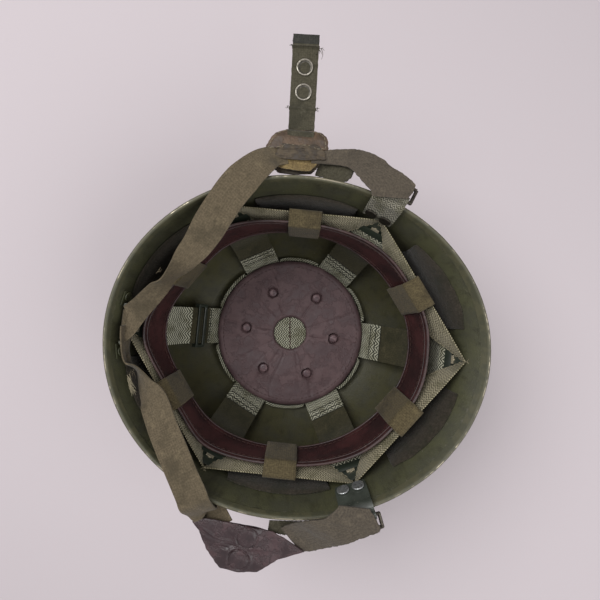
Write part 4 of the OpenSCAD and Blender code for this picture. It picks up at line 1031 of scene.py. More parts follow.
def build_crown_pad():
    """The leather pad, creased round its vents, with their caps and the cloth in its hole"""
    r_out, hole = CROWN_D / 2, CROWN_HOLE / 2
    base = CROWN_Z - CROWN_T
    top = [(hole, 0.8), (hole + 0.4, 2.6), (hole + 1.2, 3.5), (hole + 2.6, 4.0)]
    top += [(mix(hole + 4, r_out - 9, k / 44), 4.0) for k in range(45)]
    top += [(r_out - 7, 4.2), (r_out - 5, 4.4), (r_out - 3.4, 4.3), (r_out - 2, 3.8),
            (r_out - 0.8, 3.0), (r_out - 0.1, 2.0), (r_out, 1.2), (r_out - 0.6, 0.3)]
    ring = top + [(r_out - 2.5, 0.05), (mix(hole, r_out, 0.5), 0.0), (hole + 1.2, 0.1)]
    n = len(ring)
    vent_angles = [60 * c - 1.5 for c in range(6)]
    vents = [(VENT_CIRCLE / 2 * cosd(a), VENT_CIRCLE / 2 * sind(a)) for a in vent_angles]
    rng = random.Random(3)
    # Creases run out from the hole past the vents: azimuth, depth, width and how they wander
    creases = [(a + rng.uniform(-6, 6), rng.uniform(0.8, 1.3), rng.uniform(2.4, 4.2), c * 3.3)
               for c, a in enumerate(vent_angles)]
    creases += [(rng.uniform(0, 360), rng.uniform(0.4, 0.8), rng.uniform(1.6, 3.2), 9.0 + c)
                for c in range(11)]

    def place(u, v):
        az = u * 360
        r, up = ring[round(v * n) % n]
        if up > 2.0:
            inside = min(1, (r - hole) / 7) * min(1, max(0, (r_out - r) / 7))
            drop = 0.0
            for angle, depth, width, drift in creases:
                d = (az - angle - 5 * wander(drift, r * 0.03) + 180) % 360 - 180
                drop += depth * max(0.0, 1 - abs(d) * r / 57.3 / width) ** 2
            up -= drop * inside * 0.9
            rumple = 0.9 * wander(az * 0.035, r * 0.045, 2.0) + 0.35 * wander(az * 0.1, r * 0.12, 5.0)
            up += rumple * inside
            for vx, vy in vents:
                d = hypot(r * cosd(az) - vx, r * sind(az) - vy)
                if d < 10:
                    up = mix(3.9, up, min(1, max(0, (d - 5) / 5)))
                    up += 0.5 * max(0, 1 - abs(d - 5.6) / 1.6)
                if d < 5.2:
                    up = 0.8
        edge = 0.35 * wander(az * 0.15, 9.0) if r > r_out - 4 else 0
        return Vector(((r + edge) * cosd(az), (r + edge) * sind(az), base + up))
    piece = sheet("crown_leather", 288, n, place, [finish("pad")], (450, 60), weld=WELD, sharp=75,
                  flip=True)
    dress(piece, "root", "mauve_leather", "crown_pad")
    bm = bmesh.new()
    for x, y in vents:
        spot = Matrix.Translation(Vector((x, y, base)) * MM)
        profile = [(0.01, 3.5), (1.6, 3.55), (2.9, 3.45), (3.6, 3.2), (4.1, 2.6), (4.2, 1.4)]
        verts = [bm.verts.new(spot @ (Vector((r, 0, z)) * MM)) for r, z in profile]
        edges = [bm.edges.new(pair) for pair in zip(verts, verts[1:])]
        bmesh.ops.spin(bm, geom=verts + edges, cent=spot.translation, axis=(0, 0, 1),
                       angle=2 * pi, steps=28, use_merge=True)
    bmesh.ops.remove_doubles(bm, verts=bm.verts, dist=WELD)
    bmesh.ops.recalc_face_normals(bm, faces=bm.faces)
    caps = made(bm, "crown_vent_caps", [finish("eyelet")])
    thick = caps.modifiers.new("thickness", "SOLIDIFY")
    thick.thickness = 0.3 * MM
    dress(caps, "root", "mauve_leather")

    def rim_run(r):
        def run(s):
            az = s * 360
            return Vector((r * cosd(az), r * sind(az), base + 4.2)), Vector((0, 0, 1))
        return run
    stitches("crown_stitches", [(rim_run(r_out - 6), 400)], finish("dark thread"), "root",
             "mauve_leather", 2.4, 4.0, 0.22)

    def under_hole(u, v, k):
        r = v * (hole + 3)
        return Vector((r * cosd(u * 360), r * sind(u * 360), base - 0.55 + k * 0.5))
    patch = sheet("crown_hole_cloth", 40, 6, under_hole, [finish("pale web")], (100, 20), solid=True,
                  weld=WELD, closed=True)
    flat_uv(patch)
    dress(patch, "root", "herringbone")
    seam = made_seam(base + 0.1, hole)
    dress(seam, "root", "herringbone")


def made_seam(z, hole):
    """The gathered seam across the cloth in the crown's hole"""
    bm = bmesh.new()
    run = [Vector((0.3 * sin(s * 1.9) - 0.102 * y, y, z + 0.12 * sin(s * 2.3)))
           for s, y in enumerate([mix(-hole + 0.5, hole - 0.5, k / 24) for k in range(25)])]
    tube(bm, run, lambda f: 0.5 + 0.18 * sin(f * 40), sides=6)
    return made(bm, "crown_hole_seam", [finish("dark thread")])


# Tabs, rings and rear bracket
TAB_ANGLE, TAB_LOW = 65.0, WEB_TOP + 0.8
RIM_TOP = three_way(TAB_ANGLE, RIM)
BAR_OUT, BAR_UP = 3.5, 4.2
RING_D, RING_REACH, RING_TILT = 2.6, 10.5, 8.0
TUBE_R = RING_D / 2 + GAP
BAR_REACH = BAR_OUT + RING_REACH * cosd(RING_TILT)
BAR_RISE = BAR_UP + RIM_TOP - RING_REACH * sind(RING_TILT)
FOLD_R = RING_D / 2 + GAP + STRAP_T / 2
TAB_SEAT = SHELL_T + GAP + (TAB_W / 2) ** 2 / BOWL_W * 1.2
TAB_INSET = 0.5 + 3 * GAP
BRACKET_ANGLE, BRACKET_HEIGHT, BRACKET_REACH = 178.5, 147.9, 5.2


def tab_in(z):
    """How far a front tab lies in from the rim at height z"""
    return skirt_out(TAB_ANGLE, z) - three_way(TAB_ANGLE, FLARE) - TAB_SEAT


def at_tab(side, p):
    """A point of a front tab's own frame: out from the wall, across the tab and up"""
    base = wall_pt(side * TAB_ANGLE, RIM_TOP, 0)
    q = turned(p, wall_az(side * TAB_ANGLE))
    return Vector((q.x + base.x, q.y + base.y, q.z))


def along_path(path, s):
    """Point and sideways direction at s along a path of 2-D points"""
    p = Vector(spline(path, s))
    ahead = Vector(spline(path, min(1, s + 0.01))) - Vector(spline(path, max(0, s - 0.01)))
    ahead.normalize()
    return p, Vector((-ahead.y, ahead.x))


def build_fold(name, at_bar, reaches, material, length, cad_node):
    """Webbing folded half round a bar. Its ends run straight to the reaches from the bar."""
    turn = [(FOLD_R * cosd(90 + 15 * k), FOLD_R * sind(90 + 15 * k)) for k in range(13)]
    path = [(x, FOLD_R) for x in reaches] + turn + [(x, -FOLD_R) for x in reversed(reaches)]

    def fold(u, v, k):
        p, up = along_path(path, u)
        p = p + up * (k - 0.5) * STRAP_T * 0.96
        return at_bar((p.x, (v - 0.5) * STRAP_W, p.y))
    piece = sheet(name, 48, 10, fold, [finish(material)], (length, STRAP_W), solid=True)
    dress(piece, "root", "strap_webbing", cad_node)


def build_tabs():
    """The front tabs over the rim, and the straps' folds round the rings that they hold"""
    over = TAB_INSET + three_way(TAB_ANGLE + 6, RIM)
    half = TAB_T / 2
    for side, name in ((1, "right"), (-1, "left")):
        heights = [mix(TAB_LOW, RIM_TOP, share) for share in (0, 0.3, 0.6, 0.85)]
        path = [(tab_in(z) - TAB_INSET - half, z) for z in heights]
        path += [(tab_in(RIM_TOP) - TAB_INSET - half, over - 1.2), (-1.6, over + 1.4),
                 (0.6, over + half + 0.5)]
        for k in range(9):
            a = radians(118 - 33 * k)
            path.append((BAR_OUT + (TUBE_R + half) * cos(a),
                         BAR_UP + RIM_TOP + (TUBE_R + half) * sin(a)))
        path += [(1.6, over + 0.9), (0.2, over + 0.2)]

        def place(u, v, k, side=side, path=path):
            p, up = along_path(path, u)
            thick = TAB_T * (0.95 if u < 0.9 else 0.5)
            p = p + up * ((k - 0.5) * thick + 0.12 * wander(u * 9, v * 4, side))
            width = TAB_W - (1.4 * max(0, 1 - u / 0.06) if u < 0.06 else 0)
            return at_tab(side, (p.x, (v - 0.5) * width, p.y))
        cloth = finish("tab cloth" if side > 0 else "tab")
        piece = sheet(f"webbing_tab_{name}", 90, 12, place, [cloth], (48, TAB_W), solid=True)
        dress(piece, "root", "herringbone", f"front_tab_{name}")

        def at_ring(p, side=side):
            return at_tab(side, (BAR_REACH + p[0], p[1], BAR_RISE + p[2]))
        build_fold(f"ring_fold_{name}", at_ring, (1.6, 0.8), "grey strap", 26, f"front_fold_{name}")


def build_hardware():
    """The metal fittings, from the CAD nodes"""
    for i in range(6):
        copied(f"slotted_plate_{i + 1}", f"anchor_plate_{i + 1}", [finish("fitting")], "root",
               "green_steel")
    copied("plate_rivets", "anchor_rivets", [finish("anchor")], "root", "bare_steel")
    heads = copied("tab_rivet_heads", "front_tab_rivets", [finish("rivet"), finish("dark rivet")],
                   "root", "bare_steel", 0.4)
    for face in heads.data.polygons:
        face.material_index = 1 if face.center.y > 0 else 0
    copied("bracket_rivet_heads", "rear_bracket_rivets", [finish("bracket")], "root", "bare_steel",
           0.4)
    copied("wire_bracket", "rear_bracket", [finish("bracket")], "root", "green_steel", 0.5)
    for name in ("right", "left"):
        copied(f"wire_ring_{name}", f"front_ring_{name}", [finish("dark rivet")], "root", "bare_steel",
               0.1)
    copied("wire_slide", "crown_slide", [finish("fitting")], "slide", "green_steel", 0.6)


# Chin straps
# The hinge of each half of the harness: both ends of its axis, as angle round the rim, mm out
# from it and mm up. Then the share of the full width where each rear strap starts, and its route
# over the rim, with the webbing's roll.
HINGE = {1: ((172, -15.3, -8.2), (68.5, 14.2, 7)), -1: ((-166.1, -13.2, -10.5), (-69.6, 13, 6.9))}
NECK = {1: 0.72, -1: 0.86}
REAR_ROUTE = {
    1: [(160.6, -28.3, -3.6, 45), (154.4, -31.6, -0.8, 74), (148.6, -33.3, 1.6, 56),
        (140.9, -32.5, 3.1, 12), (132.2, -29, 4, 0), (120.7, -16.8, 5, 0), (110.7, -1.8, 5.9, 0),
        (103.4, 10.6, 1.6, -6), (99.9, 16.2, -5.6, -4), (97.0, 18.4, -8.0, -4)],
    -1: [(-155.2, -22.3, -5.9, 34), (-149.2, -24.8, -2.1, 8), (-139.3, -22.3, 1.8, 0),
         (-131.6, -18.1, 4.2, 0), (-123.7, -11, 5.6, 0), (-116.1, -1.3, 7.5, 0), (-113.2, 4.8, 6.2, 0),
         (-110.4, 11.6, -4.4, 9), (-109, 12.8, -14.2, 3), (-104.4, 22, -13.4, 4)]}
# Both edges of the front straps and of the loose ends, in the part's own frame: x and y of one
# edge, x and y of the other, and the height
FRONT_EDGES = {
    1: [(48.6, 110.8, 73.2, 111.2, 174.4), (47.4, 114.4, 76.7, 116.7, 174.8),
        (44.4, 116.9, 77.0, 121.6, 174.7), (42.2, 119.3, 71.4, 126.4, 174.2),
        (39.2, 122.5, 61.3, 132.0, 172.8), (37.0, 125.0, 55.2, 136.9, 171.5),
        (34.5, 128.2, 47.0, 141.5, 169.3), (30.7, 131.2, 39.4, 144.0, 166.3),
        (25.8, 132.6, 31.0, 145.0, 163.7), (20.1, 133.3, 22.6, 144.6, 161.6),
        (12.2, 133.5, 14.0, 143.9, 160.7), (4.2, 133.5, 5.4, 143.1, 160.5)],
    -1: [(47.7, -104.7, 69.1, -105.0, 174.4), (46.3, -107.1, 72.3, -109.5, 174.4),
         (43.0, -111.0, 76.1, -114.9, 174.0), (38.8, -114.8, 77.6, -119.9, 173.4),
         (33.8, -117.1, 68.3, -125.2, 172.6), (28.4, -118.5, 59.7, -129.9, 171.8),
         (23.1, -121.2, 52.1, -134.6, 168.5), (18.2, -125.9, 43.9, -140.8, 162.0),
         (13.5, -130.8, 35.0, -147.0, 156.4), (9.3, -134.1, 25.8, -150.2, 154.2)]}
LOOSE_EDGES = {
    1: [(35.8, 132.3, 33.7, 124.5, 164.5), (31.7, 132.9, 29.2, 121.7, 162.1),
        (24.6, 134.6, 22.1, 123.3, 158.8), (16.6, 135.4, 14.0, 125.1, 155.9),
        (10.1, 135.1, 8.0, 126.4, 154.8)],
    -1: [(24.3, -128.8, 25.5, -140.6, 152.5), (18.4, -129.5, 19.2, -140.5, 152.0),
         (12.5, -130.2, 12.8, -140.4, 151.5), (6.2, -130.9, 6.1, -140.4, 151.0),
         (0.2, -131.5, -0.3, -140.4, 150.5)]}


# How far a strap's edges stand above its middle
STRAP_CUP = 0.25


def strap_lift(u, v, k, seed, broad, fine):
    """Height of a strap's face: thin selvedges, edges turned up, broad and fine creases"""
    lift = (k - 0.5) * STRAP_T * (1 - 0.4 * abs(2 * v - 1) ** 6) + STRAP_CUP * (2 * v - 1) ** 2
    return (lift + broad * wander(u * 7, v * 2.5, seed + 3)
            + fine * wander(u * 19, v * 5, seed + 8))


def hinge_pt(side, end, s=0.0):
    """A point s mm along a half's hinge from its rear end (0) or its front end (1)"""
    a, b = rim_pt(*HINGE[side][0]), rim_pt(*HINGE[side][1])
    return (b if end else a) + (b - a).normalized() * s


def on_rim(route):
    """Stations x, y, z and roll of a route that is given along the rim"""
    return [(*rim_pt(angle, out, up), roll) for angle, out, up, roll in route]


def webbing(name, stations, width, nodes, material, cols=90, gather=None, edge=None, seed=0.0):
    """Webbing through stations (x, y, z, roll), with soft edges and a slight ripple. An edge is the
    way in which the webbing's start is cut: its direction, its width and how far it reaches in."""
    lengths = [0.0]
    for a, b in zip(stations, stations[1:]):
        lengths.append(lengths[-1] + (Vector(b[:3]) - Vector(a[:3])).length)

    def at(u):
        s = max(0.0, min(1.0, u))
        here = Vector(spline(stations, s)[:3])
        ahead = (Vector(spline(stations, min(1, s + 0.012))[:3])
                 - Vector(spline(stations, max(0, s - 0.012))[:3])).normalized()
        roll = spline(stations, s)[3]
        side = Vector((-ahead.y, ahead.x, 0)).normalized()
        up = ahead.cross(side)
        across = side * cosd(roll) + up * sind(roll)
        return here, across, ahead.cross(across)

    def place(u, v, k):
        here, across, normal = at(u)
        wide = width * (gather(u) if gather else 1.0)
        if edge and u < edge[2]:
            share = (1 - u / edge[2]) ** 1.3
            across = across.lerp(edge[0], share).normalized()
            wide = mix(wide, edge[1], share)
        wide += 0.7 * wander(u * 14, v * 2, seed)
        lift = strap_lift(u, v, k, seed, 0.45, 0.25)
        return here + across * ((v - 0.5) * wide) + normal * lift
    piece = sheet(name, cols, 14, place, [finish(material)], (lengths[-1], width), solid=True,
                  sharp=50)
    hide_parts(*nodes)
    return piece


def neck_gather(side, rings):
    """Share of the full width along a rear strap, gathered where it twists"""
    wide, end = (1.12, 0.72) if side > 0 else (1.0, 1.0)
    return lambda u: (mix(NECK[side], wide, max(0, min(1, (u * rings - 9) / 4)))
                      * mix(1, end / wide, max(0, min(1, (u - 0.74) / 0.16))))


def edged_webbing(name, edges, nodes, material, cols=90, seed=0.0, ragged=0.0):
    """Webbing given by both of its edges, with a soft selvedge and slight creases"""
    def place(u, v, k):
        row = spline(edges, u)
        a, b = Vector((row[0], row[1], row[4])), Vector((row[2], row[3], row[4]))
        later = spline(edges, min(1, u + 0.01))
        sooner = spline(edges, max(0, u - 0.01))
        ahead = Vector((later[0] + later[2] - sooner[0] - sooner[2],
                        later[1] + later[3] - sooner[1] - sooner[3], 2 * (later[4] - sooner[4])))
        normal = ahead.normalized().cross((b - a).normalized())
        normal = normal if normal.z > 0 else -normal
        torn = ragged * (0.6 * wander(u * 60, seed) + 0.6 * wander(u * 23, seed + 4)) * v ** 8
        across = v + (0.5 * wander(u * 14, v * 2, seed) + torn) / (b - a).length * (2 * v - 1)
        lift = strap_lift(u, v, k, seed, 0.5, 0.3)
        return a.lerp(b, across) + normal.normalized() * lift
    length = sum((Vector(q[:2]) + Vector(q[2:4]) - Vector(r[:2]) - Vector(r[2:4])).length / 2
                 for q, r in zip(edges[1:], edges))
    piece = sheet(name, cols, 16, place, [finish(material)], (length, STRAP_W), solid=True,
                  sharp=50)
    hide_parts(*nodes)
    return piece


def build_harness():
    """The straps of both halves. Only the loose ends ride on their half's body."""
    for side, name in ((1, "right"), (-1, "left")):
        body = f"harness_{name}"
        near, far = hinge_pt(side, 0, 0.5), hinge_pt(side, 0, 8)
        if side > 0:
            start = [(-119.6, 3.2, 153.4, 2), (-114.5, 11.5, 153.2, 8)]
            edge = (Vector((0.05, 1, 0)), 27, 0.13)
        else:
            start = [(-120.6, 3.0, 150.4, 90), (-120.4, -6.2, 149.6, 90), (-119.5, -17, 149.4, 86),
                     (-117.8, -22.8, 149.8, 84), (*near, 80), (*far, 64)]
            edge = None
        stations = start + on_rim(REAR_ROUTE[side])
        rings = 2 * len(stations) - 2
        piece = webbing(f"rear_webbing_{name}", stations, STRAP_W, [f"rear_strap_{name}"], "strap",
                        130, neck_gather(side, rings), edge, side * 2.0)
        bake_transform(piece)

        piece = edged_webbing(f"front_webbing_{name}", FRONT_EDGES[side], [f"front_strap_{name}"],
                              "grey strap", 110, side * 5.0, ragged=1.5 if side < 0 else 0.6)
        inner, outer = at_tab(side, (BAR_REACH - 4, 0, BAR_RISE)), hinge_pt(side, 1, -4)
        outer = outer + (outer - inner).normalized() * 8
        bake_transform(piece)
        piece = edged_webbing(f"loose_webbing_{name}", LOOSE_EDGES[side], [f"loose_end_{name}"],
                              "dark strap", 40, side * 9.0, ragged=1.0)
        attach(piece, body)


def at_bracket(p):
    """A point of the rear bracket's own frame, which stands inwards from the wall"""
    foot = wall_pt(BRACKET_ANGLE, BRACKET_HEIGHT, SHELL_T)
    return foot + turned(p, wall_az(BRACKET_ANGLE) + 180)


def build_rear_fold():
    """The strap through the rear bracket"""
    def at_wire(p):
        return at_bracket((BRACKET_REACH + p[0], p[1], p[2]))
    build_fold("bracket_fold", at_wire, (4.6, 2.5), "strap", 24, "rear_fold")


# Cup, closing strap, stud plate
CUP_SLOPE, PLATE_SLOPE, CLOSING_RISE, CLOSING_TURN = 4.0, 4.0, 4.0, 2.6
CLOSING_W, CLOSING_L, CLOSING_FOLD, CLOSING_SEAM = 19.5, 66.0, 8.5, 14.6
SNAP_FIRST, SNAP_PITCH, TAIL_TOP = 26.0, 17.5, 16.5
CUP_OUTLINE = [(-25, -0.4), (-23.4, 5.1), (-19, 12.3), (-10.6, 16.5), (9, 16.5), (14.4, 15.6),
               (18.4, 11.7), (19.9, 3.6), (15, -5.9), (9, -8.5), (-10, -9), (-20, -7)]
STUD_OUTLINE = [(-31.6, 0), (-22.6, 3.6), (-13.3, 3), (1.5, 1.8), (14.3, 0.9), (27.3, -1.6),
                (38.8, -6.8), (51.4, -13.9), (34.8, -21.8), (26.2, -27.3), (19.4, -33.4), (6.6, -34.4),
                (-8.2, -33.2), (-14.3, -27), (-20.5, -18.1), (-26.2, -6.1)]


def at_cup(p):
    """A point of the chin cup's own plane, which slopes a little"""
    x, y, z = p
    return rim_pt(93, 19.5, -9.3) + Vector((x, y * cosd(CUP_SLOPE) + z * sind(CUP_SLOPE),
                                            z * cosd(CUP_SLOPE) - y * sind(CUP_SLOPE)))


def at_stud_plate(p):
    """A point of the stud plate's own plane, which slopes a little"""
    x, y, z = p
    return rim_pt(-100.5, 15.5, -8.6) + Vector((x, y * cosd(PLATE_SLOPE) - z * sind(PLATE_SLOPE),
                                                z * cosd(PLATE_SLOPE) + y * sind(PLATE_SLOPE)))


def cut_leather(name, outline, frame_of, low, thick, materials, body, slot, nodes, height=None,
                rag=0.3, soft=0.3, lie=None):
    """A cut piece of leather: its outline in its own plane, with softened edges. The height shapes
    its upper face alone, and lie shapes both faces. Gives its edge, from 0 to 1, and its middle."""
    n = len(outline)
    cx = sum(p[0] for p in outline) / n
    cy = sum(p[1] for p in outline) / n
    closed = outline + outline[:1]

    def edge_pt(u):
        s = (u % 1.0) * n
        i = int(s)
        a, b = Vector(closed[i % n]), Vector(closed[(i + 1) % n])
        straight = a.lerp(b, s - i)
        loop = [outline[(i + k) % n] for k in (-1, 0, 1, 2)]
        curve = Vector(spline(loop, (1 + s - i) / 3))
        return straight.lerp(curve, soft)
    ring = [(0.0, 0.0), (0.2, 0.0), (0.4, 0.0), (0.6, 0.0), (0.8, 0.0), (0.93, 0.02), (0.985, 0.12),
            (1.0, 0.4), (1.0, 0.7), (0.985, 0.93), (0.95, 1.0)]
    ring += [(k / 30, 1.0) for k in range(28, 0, -1)] + [(0.0, 1.0)]
    rows = len(ring) - 1

    def place(u, v):
        share, k = ring[round(v * rows)]
        p = Vector((cx, cy)).lerp(edge_pt(u), share)
        grow = 1 + rag * wander(u * 40, 2.0) / 20 * (share > 0.9)
        x, y = cx + (p.x - cx) * grow, cy + (p.y - cy) * grow
        top = height(x, y, share) if height and k > 0.5 else 0.0
        return frame_of((x, y, low + k * thick + top + (lie(x, y) if lie else 0.0)))
    piece = sheet(name, 132, rows, place, materials, (100, 60), weld=WELD, sharp=70)
    dress(piece, body, slot, *nodes)
    return edge_pt, (cx, cy)


def build_cup():
    """The chin cup: its leather, lining, suede, flap, crossing, strap tail and stitches"""
    def swell(x, y, share):
        return 0.5 * wander(x * 0.12, y * 0.16, 4.0) - 0.3 * share ** 6
    cut_leather("cup_leather", CUP_OUTLINE, at_cup, -LEATHER_T, LEATHER_T, [finish("cup")],
                "harness_right", "brown_leather", ["chin_cup"], swell, 0.5)
    lining = [(-17.5, -4), (-9, 2), (9, 2.5), (16, -4), (12.5, -10), (9.5, -13.5), (-3.7, -15.4),
              (-14.8, -15), (-19.5, -11)]
    cut_leather("cup_lining_edge", lining, at_cup, -2 * LEATHER_T - GAP, LEATHER_T,
                [finish("crossing")], "harness_right", "suede", ["chin_cup_lining"], None, 0.8)

    def dished(x, y, share):
        return 0.35 * wander(x * 0.2, y * 0.25, 6.0) + 0.5 * share ** 4
    suede = [(-18.2, -9.4), (-13.4, -6.0), (-4.6, -5.6), (5.6, -5.2), (14.9, -4.6), (11.7, -9.3),
             (7.8, -13.4), (-2.4, -13.7), (-14.2, -12.7)]
    cut_leather("cup_suede", suede, at_cup, 0.2, 1.1, [finish("suede")], "harness_right", "suede", [],
                dished, 1.6, 0.5)

    # The upper flap, over the straps' ends
    def over_straps(x, y):
        return 2.1 * max(0.0, min(1.0, (15.6 - y) / 6))
    flap = [(-25.2, -0.6), (-23.6, 5.1), (-19.2, 12.3), (-10.8, 16.5), (9, 16.6), (14.6, 15.8),
            (18.6, 11.7), (20.1, 3.4), (14.2, 2.0), (6.6, 4.4), (-2.8, 3.4), (-12, 3.8), (-14.5, 1.2)]
    edge, mid = cut_leather("cup_flap", flap, at_cup, 0.3, 1.4, [finish("cup")], "harness_right",
                            "brown_leather", [], swell, 0.6, 0.3, over_straps)

    def crumpled(x, y, share):
        fold = max(0.0, 1 - abs(y - 1.6 - 0.16 * x - 1.2 * sin(x * 0.2)) / 1.3)
        return (0.7 * wander(x * 0.1, y * 0.4, 2.0) + 0.3 * wander(x * 0.3, y * 0.6, 5.0)
                + 0.9 * fold - 0.5 * share ** 4)
    crossing = [(-14, 4.2), (-2.7, 4.4), (10.2, 6.2), (15, 3.4), (18.4, -0.4), (18.6, -4.6),
                (13.2, -5.0), (5.6, -6.4), (-4.6, -6.8), (-13.4, -6.6), (-17.9, -4.7)]
    cut_leather("cup_crossing", crossing, at_cup, 2.9, 1.3, [finish("crossing")], "harness_right",
                "brown_leather", [], crumpled, 0.45, 0.6)

    def tail(u, v, k):
        y = mix(TAIL_TOP, 10.8, u)
        z = 0.9 + 2.9 * min(1, max(0, (TAIL_TOP - y) / 2.6)) ** 0.7 - 0.1 * (TAIL_TOP - y)
        x = (v - 0.5) * (CLOSING_W - 0.6 * u) - 1.0 + 0.3 * wander(u * 4, v * 5)
        return at_cup((x, y - 0.5 * wander(v * 6, 4.0) * u, z + (k - 1) * 1.4))
    piece = sheet("closing_tail", 16, 14, tail, [finish("dark strap")], (9, CLOSING_W), solid=True)
    dress(piece, "harness_right", "strap_webbing")

    def around(s):
        q = Vector(mid).lerp(edge(s), 0.9)
        top = at_cup((q.x, q.y, 1.7 + swell(q.x, q.y, 0.8) + over_straps(q.x, q.y)))
        return top, at_cup((0, 0, 1)) - at_cup((0, 0, 0))
    stitches("cup_stitches", [(around, 100)], finish("thread"), "harness_right", "brown_leather",
             2.2, 3.6, 0.2)


def closing_pt(p):
    """A point of the closing strap: across it, along it from the cup and over its face"""
    x, y, z = p
    rise = CUP_SLOPE + CLOSING_RISE
    q = turned((x, y * cosd(rise) - z * sind(rise), y * sind(rise) + z * cosd(rise)), CLOSING_TURN)
    start = Vector((-1, 16.6 + GAP + STRAP_T / 2 + CLOSING_W / 2 * sind(CLOSING_TURN),
                    -LEATHER_T / 2))
    return at_cup(q + start)


def build_closing():
    """The closing strap with its folded end and its two snap sockets"""
    def place(u, v, k):
        y = mix(-0.6, CLOSING_L, u)
        past_fold = y - CLOSING_L + CLOSING_FOLD
        folded = 1.5 if y > CLOSING_L - CLOSING_FOLD else 0.5
        seam = max(0.0, 1 - abs(y - CLOSING_SEAM) / 1.4) + 0.9 * max(0.0, 1 - abs(past_fold) / 1.3)
        z = (k * (folded + 0.6 * seam) + (1 - k) * -0.5) * STRAP_T
        z += 0.3 * wander(y * 0.1, v * 2, 8.0) * (1 if y > 2 else 0)
        wide = CLOSING_W - 0.5 + 0.6 * wander(y * 0.3, v * 2, 3.0) + 1.6 * seam
        return closing_pt(((v - 0.5) * wide, y, z))

    def worn_end(u, v, k):
        return 1 if u > (CLOSING_L - CLOSING_FOLD + 2) / CLOSING_L else 0
    piece = sheet("closing_webbing", 120, 14, place, [finish("dark strap"), finish("strap end")],
                  (CLOSING_L, CLOSING_W), solid=True, paint=worn_end)
    dress(piece, "closing", "strap_webbing", "closing_strap")
    dish = [(1.6, 0.2), (3.0, 0.3), (4.1, 0.7), (4.8, 1.3)]
    rim = [(4.8, 1.2), (4.95, 1.85), (5.35, 2.2), (5.7, 2.0), (5.9, 1.4), (5.8, 0.9)]
    back = [(2.5, -1.2), (2.8, -1.9), (4.5, -2.1), (5.8, -1.9), (6.0, -1.2)]
    axis = closing_pt((0, 0, 1)) - closing_pt((0, 0, 0))
    aside = closing_pt((1, 0, 0)) - closing_pt((0, 0, 0))
    for name, profile, material in (("snap_dishes", dish, "socket"), ("snap_rims", rim, "socket rim"),
                                    ("snap_backs", back, "socket")):
        bm = bmesh.new()
        for k in (0, 1):
            mid = closing_pt((0, SNAP_FIRST + SNAP_PITCH * k, 0)) * MM
            verts = [bm.verts.new(mid + (aside * r + axis * z) * MM) for r, z in profile]
            edges = [bm.edges.new(pair) for pair in zip(verts, verts[1:])]
            bmesh.ops.spin(bm, geom=verts + edges, cent=mid, axis=axis, angle=2 * pi, steps=40,
                           use_merge=True)
        bmesh.ops.recalc_face_normals(bm, faces=bm.faces)
        piece = made(bm, name, [finish(material)])
        thick = piece.modifiers.new("thickness", "SOLIDIFY")
        thick.thickness = 0.35 * MM
        thick.offset = 0
        dress(piece, "closing", "bare_steel", *(["snap_sockets"] if name == "snap_rims" else []))


def build_stud_plate():
    """The stud plate, with a boss over each stud and folds that run into them"""
    spots = [(9.2 + k * SNAP_PITCH * cosd(-106), -7.3 + k * SNAP_PITCH * sind(-106)) for k in (0, 1)]

    def bosses(x, y, share):
        up = 1.3 * wander(x * 0.05, y * 0.06, 1.0) + 0.4 * wander(x * 0.14, y * 0.15, 5.0)
        # Folds that run into the nearer boss from the plate's corner
        for k in range(4):
            line = (y + 4.5 + 3.6 * k) + 0.34 * (x + 20) - 2.0 * sin(x * 0.14 + k)
            up += 0.9 * max(0.0, 1 - abs(line) / 1.4) * max(0, min(1, (6 - x) / 14))
        ridge = y + 16.8 - 0.06 * (x - 8) - 1.2 * sin(x * 0.1)
        up += 1.0 * max(0.0, 1 - abs(ridge) / 2.2) * max(0, min(1, (30 - abs(x)) / 14))
        up -= 0.4 * share ** 6
        for sx, sy in spots:
            d = hypot(x - sx, y - sy)
            if d < 11:
                face = 2.2 - 0.3 * (d / 6.6) ** 2
                beyond = max(up * min(1.0, (d - 7.4) / 3.6), 1.3 * max(0.0, 1 - abs(d - 8.8) / 1.8))
                wall = mix(face, 0.2, (d - 6.6) / 0.8)
                up = face if d < 6.6 else wall if d < 7.4 else beyond + 0.2
        return up
    cut_leather("stud_leather", STUD_OUTLINE, at_stud_plate, -LEATHER_T, LEATHER_T,
                [finish("plate")], "harness_left", "mauve_leather", ["stud_plate"], bosses, 0.5, 0.15)
    copied("stud_posts", "snap_studs", [finish("socket")], "harness_left", "bare_steel", 0.2)


